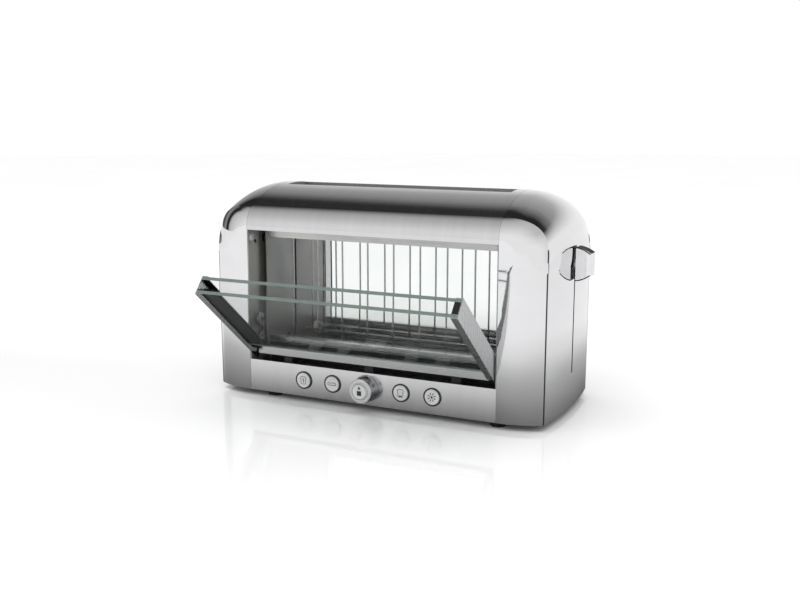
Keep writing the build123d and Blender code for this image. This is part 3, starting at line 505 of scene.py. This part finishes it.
def finish_mesh(name, bm, smooth=True):
    bmesh.ops.recalc_face_normals(bm, faces=bm.faces)
    mesh = bpy.data.meshes.new(name)
    bm.to_mesh(mesh)
    bm.free()
    for face in mesh.polygons:
        face.use_smooth = smooth
    return mesh


def raise_outline(bm, outline, to_surface):
    """Prism on a face. outline is (across, up) points, and to_surface(across, up, proud) places one."""
    lower = [bm.verts.new(to_surface(a, u, -INK_THICK)) for a, u in outline]
    upper = [bm.verts.new(to_surface(a, u, INK_THICK)) for a, u in outline]
    bm.faces.new(lower)
    bm.faces.new(reversed(upper))
    for i in range(len(outline)):
        j = (i + 1) % len(outline)
        bm.faces.new((lower[i], upper[i], upper[j], lower[j]))


def raise_line(bm, points, width, to_surface, closed=False):
    """A drawn line of one width along points, as a row of short prisms that share their ends."""
    count = len(points)
    sides = []
    for i, (a, u) in enumerate(points):
        before = points[i - 1] if i or closed else points[i]
        after = points[(i + 1) % count] if i + 1 < count or closed else points[i]
        along = Vector((after[0] - before[0], after[1] - before[1])).normalized()
        side = Vector((-along.y, along.x)) * width / 2
        sides.append(((a + side.x, u + side.y), (a - side.x, u - side.y)))
    rings = []
    for left, right in sides:
        corners = [(left, -INK_THICK), (left, INK_THICK), (right, INK_THICK), (right, -INK_THICK)]
        rings.append([bm.verts.new(to_surface(p[0], p[1], proud)) for p, proud in corners])
    for i in range(count if closed else count - 1):
        first, second = rings[i], rings[(i + 1) % count]
        for k in range(4):
            m = (k + 1) % 4
            bm.faces.new((first[k], first[m], second[m], second[k]))
    if not closed:
        bm.faces.new(rings[0])
        bm.faces.new(reversed(rings[-1]))


def arc(across, up, r, start, end, steps):
    """Points on an arc in degrees, counted from the across direction towards up."""
    points = []
    for i in range(steps + 1):
        angle = math.radians(start + (end - start) * i / steps)
        points.append((across + r * math.cos(angle), up + r * math.sin(angle)))
    return points


def circle(r, count):
    """Points round the origin, without a second one where the circle closes."""
    return arc(0, 0, r, 0, 360 - 360 / count, count - 1)


def flat_face(x, y):
    """Places marks on a flat face that looks towards -Y."""

    def to_surface(across, up, proud):
        return place(x + across, y - proud, CONTROL_Z + up)

    return to_surface


LINE, HEAVY_LINE, RING_LINE = 0.55, 0.8, 0.45
SLICE_HALF_WIDTH = 3.3
# A slice's foot, shoulder and lobes as parts of its half width, and the lobes' rise as part of their radius
SLICE_FOOT, SLICE_SHOULDER, SLICE_LOBE, LOBE_RISE = 0.78, 0.75, 0.5, 0.4
FLAKE_ARMS, FLAKE_INNER_R, FLAKE_OUTER_R = 8, 2.3, 4.6
FLAKE_LINE, FLAKE_CORE_R = 0.85, 1.2


def slice_outline(low, high):
    """A loaf slice seen from the front: straight sides and two lobes on top."""
    foot, r = SLICE_HALF_WIDTH * SLICE_FOOT, SLICE_HALF_WIDTH * SLICE_LOBE
    level = high - SLICE_HALF_WIDTH * SLICE_SHOULDER + r * LOBE_RISE
    points = [(-foot, low), (foot, low)]
    points += arc(SLICE_HALF_WIDTH - r, level, r, -50, 90, 8)
    points += arc(r - SLICE_HALF_WIDTH, level, r, 90, 230, 8)
    return points


def mark_one_side(bm, to_surface):
    raise_line(bm, slice_outline(-3.8, 4.0), LINE, to_surface, closed=True)
    raise_line(bm, [(-1.0, 1.2), (0.3, 2.0), (0.3, -2.2)], HEAVY_LINE, to_surface)


def mark_bun(bm, to_surface):
    outline = [(-4.7, -0.6)] + arc(-3.8, 0.3, 0.9, 180, 90, 5) + [(-1.4, 0.95), (1.4, 1.3)]
    outline += arc(3.6, 0.1, 1.15, 90, -90, 8) + [(1.4, -1.35), (-1.4, -1.05), (-4.1, -1.35)]
    raise_line(bm, outline, LINE, to_surface, closed=True)


def mark_reheat(bm, to_surface):
    raise_line(bm, slice_outline(-3.9, 4.0), LINE, to_surface, closed=True)
    raise_outline(bm, [(-2.0, -3.7), (2.0, -3.7), (1.2, -2.3), (0.1, -2.8), (-1.1, -2.2)], to_surface)


def mark_defrost(bm, to_surface):
    for i in range(FLAKE_ARMS):
        angle = math.tau * (i + 0.5) / FLAKE_ARMS
        arm = [(r * math.cos(angle), r * math.sin(angle)) for r in (FLAKE_INNER_R, FLAKE_OUTER_R)]
        raise_line(bm, arm, FLAKE_LINE, to_surface)
    raise_outline(bm, circle(FLAKE_CORE_R, 12), to_surface)


MARKS = {"one_side": mark_one_side, "bun": mark_bun, "reheat": mark_reheat, "defrost": mark_defrost}
for button, x in BUTTONS.items():
    bm = bmesh.new()
    MARKS[button](bm, flat_face(x, BUTTON_FACE))
    mesh = finish_mesh(f"{button}_printed_mark", bm, smooth=False)
    add_piece(f"{button}_printed_mark", mesh, INK, button)

# Pointer, stop square and ring on the middle button
STOP_RING_R = 7.8
bm = bmesh.new()
stop_face = flat_face(0, STOP_FACE)
raise_outline(bm, [(-1.7, 2.5), (1.7, 2.5), (0, 5.9)], stop_face)
raise_outline(bm, [(-2.4, -3.9), (2.4, -3.9), (2.4, 0.9), (-2.4, 0.9)], stop_face)
raise_line(bm, circle(STOP_RING_R, 48), RING_LINE, stop_face, closed=True)
mesh = finish_mesh("stop_printed_mark", bm, smooth=False)
add_piece("stop_printed_mark", mesh, INK, "stop")


def dial_side(degrees):
    """Places marks on the dial's tapering side, turned about its axis by an angle from the top."""

    def to_surface(across, up, proud):
        depth = up + (DIAL_FACE + DIAL_BACK) / 2
        share = (depth - DIAL_FACE) / (DIAL_BACK - DIAL_FACE)
        r = DIAL_R + (DIAL_BASE_R - DIAL_R) * share
        angle = math.radians(degrees) + across / r
        r += proud
        return place(r * math.sin(angle), depth, CONTROL_Z + r * math.cos(angle))

    return to_surface


def numeral_mesh(text, height):
    """Flat mesh of one numeral, its middle at the origin."""
    curve = bpy.data.curves.new(f"numeral_{text}", "FONT")
    curve.body = text
    curve.size = height
    curve.align_x = "CENTER"
    curve.align_y = "CENTER"
    source = bpy.data.objects.new(f"numeral_{text}", curve)
    mesh = bpy.data.meshes.new_from_object(source)
    bpy.data.objects.remove(source)
    return mesh


NUMERALS, NUMERAL_HEIGHT = 8, 7.5
NUMERALS_FROM, NUMERALS_SPREAD = -150, 300
SAME_SPOT = 0.001
bm = bmesh.new()
for step in range(NUMERALS):
    to_surface = dial_side(NUMERALS_FROM + NUMERALS_SPREAD * step / (NUMERALS - 1))
    digits = bmesh.new()
    digits.from_mesh(numeral_mesh(str(step + 1), NUMERAL_HEIGHT))
    bmesh.ops.remove_doubles(digits, verts=digits.verts, dist=SAME_SPOT)
    top = {v: bm.verts.new(to_surface(v.co.x, v.co.y, INK_THICK)) for v in digits.verts}
    low = {v: bm.verts.new(to_surface(v.co.x, v.co.y, -INK_THICK)) for v in digits.verts}
    for face in digits.faces:
        bm.faces.new([top[v] for v in face.verts])
        bm.faces.new([low[v] for v in reversed(face.verts)])
    for edge in digits.edges:
        if len(edge.link_faces) == 1:
            a, b = edge.verts
            bm.faces.new((top[a], top[b], low[b], low[a]))
    digits.free()
mesh = finish_mesh("dial_printed_numbers", bm, smooth=False)
add_piece("dial_printed_numbers", mesh, INK, "dial")


def join_rings(bm, rings):
    """Closed skin over rings of corners that follow one another."""
    count = len(rings[0])
    rings = [[bm.verts.new(corner) for corner in ring] for ring in rings]
    for first, second in zip(rings, rings[1:]):
        for k in range(count):
            m = (k + 1) % count
            bm.faces.new((first[k], first[m], second[m], second[k]))
    bm.faces.new(rings[0])
    bm.faces.new(reversed(rings[-1]))


def add_tube(bm, centres, outwards, r, sides):
    """Closed tube along centres. outwards gives each ring a side to start from."""
    rings = []
    for i, (centre, out) in enumerate(zip(centres, outwards)):
        before, after = centres[max(i - 1, 0)], centres[min(i + 1, len(centres) - 1)]
        side = (after - before).cross(out).normalized()
        out = side.cross(after - before).normalized()
        ring = []
        for k in range(sides):
            angle = math.tau * k / sides
            ring.append(centre + (out * math.cos(angle) + side * math.sin(angle)) * r)
        rings.append(ring)
    join_rings(bm, rings)


def add_coil(bm, start, along, r, wire_r, pitch, length, flat_turns=0.0, sides=8, per_turn=20):
    """A wire wound round an axis. Its first and last turns can lie flat, as ground ends do."""
    along = Vector(along)
    across = Vector((0, 1, 0)) if abs(along.y) < 0.5 else Vector((1, 0, 0))
    third = along.cross(across)
    turns = length / pitch
    count = int(per_turn * (turns + 2 * flat_turns))
    centres, outwards = [], []
    for i in range(count + 1):
        turn = (turns + 2 * flat_turns) * i / count - flat_turns
        climb = min(max(turn, 0.0), turns) * pitch
        angle = math.tau * turn
        out = across * math.cos(angle) + third * math.sin(angle)
        centres.append(start + (along * climb + out * r) * MM)
        outwards.append(out)
    add_tube(bm, centres, outwards, wire_r * MM, sides)


# Return spring round the front guide rod. The lever squeezes it as it goes down, but it is drawn at one
# length only.
SPRING_LOW, SPRING_TOP = 29.0, 152.0
SPRING_MEAN_R, SPRING_WIRE_R, SPRING_PITCH = 3.95, 0.6, 4.6
GUIDE_X, GUIDE_Y = 148.5, -15.0
SPRING_LENGTH = SPRING_TOP - SPRING_LOW
bm = bmesh.new()
start = place(GUIDE_X, GUIDE_Y, SPRING_LOW + SPRING_WIRE_R)
wound = SPRING_LENGTH - 2 * SPRING_WIRE_R
add_coil(bm, start, (0, 0, 1), SPRING_MEAN_R, SPRING_WIRE_R, SPRING_PITCH, wound, flat_turns=0.8)
spring = finish_mesh("return_spring_coil", bm)
spring = add_piece("return_spring_coil", spring, FINISH["spring_steel"], "housing")
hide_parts("return_spring")
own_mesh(spring)

# Heating coils in the four quartz tubes, with straight leads through the holders
TUBE_Y, TUBE_ZS = 45.0, (180.0, 53.0)
COIL_END, LEAD_END = 126.0, 133.4
COIL_R, COIL_WIRE_R, COIL_PITCH, LEAD_R = 2.2, 0.45, 2.4, 0.7
for y, side in ((-TUBE_Y, "front"), (TUBE_Y, "rear")):
    for z, level in zip(TUBE_ZS, ("upper", "lower")):
        name = f"heating_coil_{side}_{level}"
        bm = bmesh.new()
        start, wound = place(-COIL_END, y, z), 2 * COIL_END
        add_coil(bm, start, (1, 0, 0), COIL_R, COIL_WIRE_R, COIL_PITCH, wound, sides=6, per_turn=14)
        for end in (-1, 1):
            lead = [place(end * COIL_END, y, z), place(end * LEAD_END, y, z)]
            add_tube(bm, lead, [Vector((0, 0, 1))] * 2, LEAD_R * MM, sides=8)
        mesh = finish_mesh(name, bm)
        add_piece(name, mesh, FINISH["filament"], "housing")
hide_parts("heating_filaments")

# Painted shade: a dark strip down each end cap's corner crease, where its front and side faces meet
FAN_X, FAN_Z, CAP_LOW = 135.3, 150.0, 6.3
# The crease by its angle, its reach from the fan's axis and how far it lies behind the front
CREASE = [(90, 47.0, 11.1), (76, 48.2, 12.1), (62, 51.6, 14.7)]
# The strip's corners, outwards and backwards of the crease: on the front, at the tip, on the side and inside
CREASE_SHADE_SECTION = [(-0.82, -0.56), (0.04, -0.07), (0.2, 0.9), (-0.4, 0.3)]
CREASE_SHADE_STEPS = 7


def crease_shade_rings(end, face):
    """Sections of one corner's shade strip: the first at the foot, then round the fan to its last angle."""
    stations = [(CREASE[0], CAP_LOW - FAN_Z)]
    for low, high in zip(CREASE, CREASE[1:]):
        for i in range(CREASE_SHADE_STEPS):
            stations.append(([a + (b - a) * i / CREASE_SHADE_STEPS for a, b in zip(low, high)], 0.0))
    rings = []
    for (angle, reach, setback), drop in stations:
        turn = math.radians(angle)
        ring = []
        for out, back in CREASE_SHADE_SECTION:
            x = FAN_X + (reach + out) * math.sin(turn)
            z = FAN_Z + (reach + out) * math.cos(turn) + drop
            ring.append(place(end * x, face * (HALF_DEPTH - setback - back), z))
        rings.append(ring)
    return rings


for end, side in ((-1, "left"), (1, "right")):
    for face, depth in ((-1, "front"), (1, "rear")):
        bm = bmesh.new()
        join_rings(bm, crease_shade_rings(end, face))
        name = f"corner_crease_shade_{side}_{depth}"
        add_piece(name, finish_mesh(name, bm, smooth=False), CREASE_SHADE, "housing")

# Thumb-piece: a painted dark outline round the polished plates' curved sides, a painted dark reflection
# along the top and a painted shadow line along the bottom
knob_low, knob_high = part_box("lever_knob")
KNOB_LENGTH, KNOB_TALL, KNOB_SHORT = 15.2, 16.6, 10.8
EDGE_WIDTH, EDGE_CURVE, EDGE_STEPS, EDGE_STOPS_SHORT = 1.1, 1.8, 10, 1.0
for face, depth in ((-1, "front"), (1, "rear")):
    face_y = knob_low[1] if face < 0 else knob_high[1]
    middle = Vector((knob_low[0], face_y, (knob_low[2] + knob_high[2]) / 2))

    def to_surface(across, up, proud):
        return middle + Vector((across, face * proud, up)) * MM

    bm = bmesh.new()
    for half in (-1, 1):
        line = []
        for i in range(EDGE_STEPS + 1):
            share = i / EDGE_STEPS
            up = KNOB_TALL - (KNOB_TALL - KNOB_SHORT) * share**EDGE_CURVE - EDGE_WIDTH / 2
            line.append((share * (KNOB_LENGTH - EDGE_STOPS_SHORT), half * up))
        raise_line(bm, line, EDGE_WIDTH, to_surface)
    name = f"knob_painted_outline_{depth}"
    mesh = finish_mesh(name, bm, smooth=False)
    # The painted outline takes the black nylon finish
    add_piece(name, mesh, FINISH["black_plastic"], "lever")

# Floor, light and camera

# What metal mirrors of the floor, by the distance in millimetres from the object
FLOOR_SHADE = [(0, 0.2), (50, 0.27), (183, 0.47), (290, 0.75), (400, 0.87), (1000, 0.89), (2400, 1.0)]
SHADE_REACH = 2400.0
# Past the front's corners the shade reaches further across. Beside the object, which starts this far behind
# the front, it falls off along a curve.
CORNER_REACH = 0.77
BESIDE_START, BESIDE_POWER, BESIDE_REACH = 60.0, 0.6, 0.85
# Left of the middle a distance counts for up to this many times its length, so that the shade is shorter
LEFT_REACH, LEFT_END = 1.15, -250.0
# The floor's own shine is strongest at the object and gone further out
SHINE, SHINE_ENDS = 0.5, (180.0, 600.0)
FLOOR_R, FLOOR_DROP = 6000.0, 0.2


def set_greys(ramp, stops):
    """Grey levels at places along a ramp."""
    ramp.elements.remove(ramp.elements[1])
    for i, (at, level) in enumerate(stops):
        stop = ramp.elements.new(at) if i else ramp.elements[0]
        stop.position = at
        stop.color = (level, level, level, 1.0)


def shade_distance(tree):
    """How far a spot on the floor is from the object, as its shade counts it."""
    low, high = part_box("end_cap_left")[0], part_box("end_cap_right")[1]
    middle = [(low[0] + high[0]) / 2, (low[1] + high[1]) / 2, 0.0]
    half = [(high[0] - low[0]) / 2, (high[1] - low[1]) / 2, 0.0]
    spot = add(tree, "ShaderNodeTexCoord").outputs["Object"]
    offset = add(tree, "ShaderNodeVectorMath", {0: spot, 1: middle}, operation="SUBTRACT")
    offset = add(tree, "ShaderNodeVectorMath", {0: offset}, operation="ABSOLUTE")
    offset = add(tree, "ShaderNodeVectorMath", {0: offset, 1: half}, operation="SUBTRACT")
    offset = add(tree, "ShaderNodeVectorMath", {0: offset, 1: (0, 0, 0)}, operation="MAXIMUM")
    across, behind, _ = add(tree, "ShaderNodeSeparateXYZ", {"Vector": offset}).outputs
    x, y, _ = add(tree, "ShaderNodeSeparateXYZ", {"Vector": spot}).outputs

    past_corner = add(tree, "ShaderNodeMath", {0: across, 1: CORNER_REACH}, operation="MULTIPLY")
    curve = add(tree, "ShaderNodeMath", {0: across, 1: BESIDE_POWER}, operation="POWER")
    beside = add(tree, "ShaderNodeMath", {0: curve, 1: BESIDE_REACH}, operation="MULTIPLY")
    side_ends = {"From Min": low[1], "From Max": low[1] + BESIDE_START * MM}
    along_side = add(tree, "ShaderNodeMapRange", {"Value": y, **side_ends})
    more = add(tree, "ShaderNodeMath", {0: beside, 1: past_corner}, operation="SUBTRACT")
    across = add(tree, "ShaderNodeMath", {0: along_side, 1: more, 2: past_corner}, operation="MULTIPLY_ADD")

    squared = add(tree, "ShaderNodeMath", {0: behind, 1: behind}, operation="MULTIPLY")
    squares = add(tree, "ShaderNodeMath", {0: across, 1: across, 2: squared}, operation="MULTIPLY_ADD")
    distance = add(tree, "ShaderNodeMath", {0: squares}, operation="SQRT")
    left_ends = {"From Min": 0.0, "From Max": LEFT_END * MM, "To Min": 1.0, "To Max": LEFT_REACH}
    longer = add(tree, "ShaderNodeMapRange", {"Value": x, **left_ends})
    return add(tree, "ShaderNodeMath", {0: distance, 1: longer}, operation="MULTIPLY")


def glossy_white_acrylic():
    """White acrylic sheet under the object, cast and polished: it mirrors the object faintly and takes a
    soft shadow. Metal mirrors it darker close to the object, as if the sheet were lit from its far side."""
    material, tree = new_material("glossy_white_acrylic")
    haze = uneven(tree, (400, 400, 400), 2.0)
    distance = shade_distance(tree)
    share = add(tree, "ShaderNodeMapRange", {"Value": distance, "From Max": SHADE_REACH * MM})
    shade = add(tree, "ShaderNodeValToRGB", {"Fac": share})
    set_greys(shade.color_ramp, [(mm / SHADE_REACH, level) for mm, level in FLOOR_SHADE])
    mirrored = add(tree, "ShaderNodeLightPath").outputs["Is Glossy Ray"]
    shade = add(tree, "ShaderNodeMix", {0: mirrored, 6: WHITE, 7: shade}, data_type="RGBA").outputs[2]
    shaded = {0: 1.0, 6: two_tones(tree, haze, "FCFCFD", "FEFEFE"), 7: shade}
    colour = add(tree, "ShaderNodeMix", shaded, data_type="RGBA", blend_type="MULTIPLY")
    near, far = SHINE_ENDS
    shine_ends = {"From Min": near * MM, "From Max": far * MM, "To Min": SHINE, "To Max": 0.0}
    dull_ends = {"To Min": 0.04, "To Max": 0.07}
    skin = {
        "Base Color": colour.outputs[2],
        "Roughness": add(tree, "ShaderNodeMapRange", {"Value": haze, **MARK_ENDS, **dull_ends}),
        "Specular IOR Level": add(tree, "ShaderNodeMapRange", {"Value": distance, **shine_ends}),
        "IOR": add(tree, "ShaderNodeMapRange", {"Value": mirrored, "To Min": 1.45, "To Max": 1.0}),
    }
    surface(tree, skin)
    return material


bm = bmesh.new()
bmesh.ops.create_circle(bm, cap_ends=True, segments=96, radius=FLOOR_R * MM)
floor = bpy.data.objects.new("studio_floor", finish_mesh("studio_floor", bm, smooth=False))
floor.location.z = -FLOOR_DROP * MM
floor.data.materials.append(glossy_white_acrylic())
bpy.context.scene.collection.objects.link(floor)

# What metal mirrors of the studio, in a few levels that give the steel its tones in the photograph. A place
# is the share of a direction that points to the back.
FRONT_WALL = [(-0.95, 1.0), (-0.8, 0.87), (-0.5, 0.66)]
CEILING = [(-0.2, 0.55), (0.0, 0.43), (0.17, 0.23)]
DARK_GAP = [(0.24, 0.03), (0.45, 0.02)]
BACK_WALL = [(0.6, 0.31), (0.8, 0.5), (1.0, 0.9)]
STUDIO_LEVELS = FRONT_WALL + CEILING + DARK_GAP + BACK_WALL
# Where the dark gap overhead ends at the back, from the studio's left to its right
GAP_MIDDLE = 0.45
GAP_LEFT = [(-0.9, -0.05), (-0.7, 0.04), (-0.6, 0.35), (-0.55, 0.4)]
GAP_RIGHT = [(-0.35, 0.45), (0.0, 0.48), (0.5, 0.58), (0.7, 0.66)]
GAP_EDGE = GAP_LEFT + GAP_RIGHT
# The gap bends over the object only, and a bend to the front is gone this far back
WALL_TOP, FRONT_BEND = (-0.4, -0.2), (0.1, 0.45)
# Low down the studio is bright all round, but for its left
HORIZON, LEFT_WALL = (0.1, 0.5), (-0.65, -0.5)


def studio_world():
    """White to the camera and through glass, and lit evenly. Metal mirrors a bright wall in front, a dark
    gap over the object that bends on both sides, a grey ceiling behind it and a bright band low down."""
    world = bpy.data.worlds.new("studio_world")
    bpy.context.scene.world = world
    world.use_nodes = True
    tree = world.node_tree
    tree.nodes.clear()
    direction = add(tree, "ShaderNodeTexCoord").outputs["Generated"]
    x, y, z = add(tree, "ShaderNodeSeparateXYZ", {"Vector": direction}).outputs

    across = add(tree, "ShaderNodeMapRange", {"Value": x, "From Min": -1.0})
    edge = add(tree, "ShaderNodeValToRGB", {"Fac": across})
    set_greys(edge.color_ramp, [((at + 1) / 2, (to + 1) / 2) for at, to in GAP_EDGE])
    bend = add(tree, "ShaderNodeMath", {0: edge, 1: -2.0, 2: 1 + GAP_MIDDLE}, operation="MULTIPLY_ADD")
    to_front = add(tree, "ShaderNodeMath", {0: bend, 1: 0.0}, operation="MAXIMUM")
    to_back = add(tree, "ShaderNodeMath", {0: bend, 1: 0.0}, operation="MINIMUM")
    fade_ends = {"From Min": FRONT_BEND[0], "From Max": FRONT_BEND[1], "To Min": 1.0, "To Max": 0.0}
    fade = add(tree, "ShaderNodeMapRange", {"Value": y, **fade_ends})
    bend = add(tree, "ShaderNodeMath", {0: to_front, 1: fade, 2: to_back}, operation="MULTIPLY_ADD")
    over = add(tree, "ShaderNodeMapRange", {"Value": y, "From Min": WALL_TOP[0], "From Max": WALL_TOP[1]})
    bent = add(tree, "ShaderNodeMath", {0: bend, 1: over, 2: y}, operation="MULTIPLY_ADD")
    along = add(tree, "ShaderNodeMapRange", {"Value": bent, "From Min": -1.0})
    room = add(tree, "ShaderNodeValToRGB", {"Fac": along})
    set_greys(room.color_ramp, [((part + 1) / 2, level) for part, level in STUDIO_LEVELS])

    right_ends = {"From Min": LEFT_WALL[0], "From Max": LEFT_WALL[1]}
    right = add(tree, "ShaderNodeMapRange", {"Value": x, **right_ends})
    low_ends = {"From Min": HORIZON[0], "From Max": HORIZON[1], "To Min": 1.0, "To Max": 0.0}
    low = add(tree, "ShaderNodeMapRange", {"Value": z, **low_ends})
    band = add(tree, "ShaderNodeMath", {0: low, 1: right}, operation="MULTIPLY")
    room = add(tree, "ShaderNodeMix", {0: band, 6: room, 7: WHITE}, data_type="RGBA").outputs[2]
    path = add(tree, "ShaderNodeLightPath").outputs
    mirrored, seen, through = (path[f"Is {kind} Ray"] for kind in ("Glossy", "Camera", "Transmission"))
    room = add(tree, "ShaderNodeMix", {0: mirrored, 6: WHITE, 7: room}, data_type="RGBA").outputs[2]
    plain = add(tree, "ShaderNodeMath", {0: seen, 1: through}, operation="MAXIMUM")
    light = add(tree, "ShaderNodeMix", {0: plain, 6: room, 7: WHITE}, data_type="RGBA").outputs[2]
    background = add(tree, "ShaderNodeBackground", {"Color": light, "Strength": 1.0})
    add(tree, "ShaderNodeOutputWorld", {"Surface": background})


studio_world()

# Large soft light that metal doesn't mirror, so it only shapes shadows
LAMP_AT, LAMP_AIM = Vector((-0.3, -0.5, 1.7)), Vector((0, 0.05, 0.1))
LAMP_SIZE, LAMP_WATTS = 1.6, 10.0
lamp_data = bpy.data.lights.new("overhead_softbox", "AREA")
lamp_data.shape = "SQUARE"
lamp_data.size = LAMP_SIZE
lamp_data.energy = LAMP_WATTS
lamp = bpy.data.objects.new("overhead_softbox", lamp_data)
lamp.location = LAMP_AT
lamp.rotation_euler = (LAMP_AIM - LAMP_AT).to_track_quat("-Z", "Y").to_euler()
lamp.visible_glossy = False
lamp.visible_camera = False
bpy.context.scene.collection.objects.link(lamp)

# The camera that fits the photograph, in metres, degrees and shares of the picture's width
CAMERA_AT = (0.44666, -0.90116, 0.29860)
CAMERA_DOWN, CAMERA_TURN = 11.034, 25.653
SENSOR_MM, LENS_MM = 36.0, 45.24
SHIFT_RIGHT, SHIFT_UP = -0.00096, 0.0066
camera_data = bpy.data.cameras.new("photograph_camera")
camera_data.sensor_width = SENSOR_MM
camera_data.lens = LENS_MM
camera_data.shift_x = SHIFT_RIGHT
camera_data.shift_y = SHIFT_UP
camera = bpy.data.objects.new("photograph_camera", camera_data)
camera.location = CAMERA_AT
camera.rotation_euler = (math.radians(90 - CAMERA_DOWN), 0, math.radians(CAMERA_TURN))
bpy.context.scene.collection.objects.link(camera)
bpy.context.scene.camera = camera

bpy.context.scene.view_settings.view_transform = "Standard"
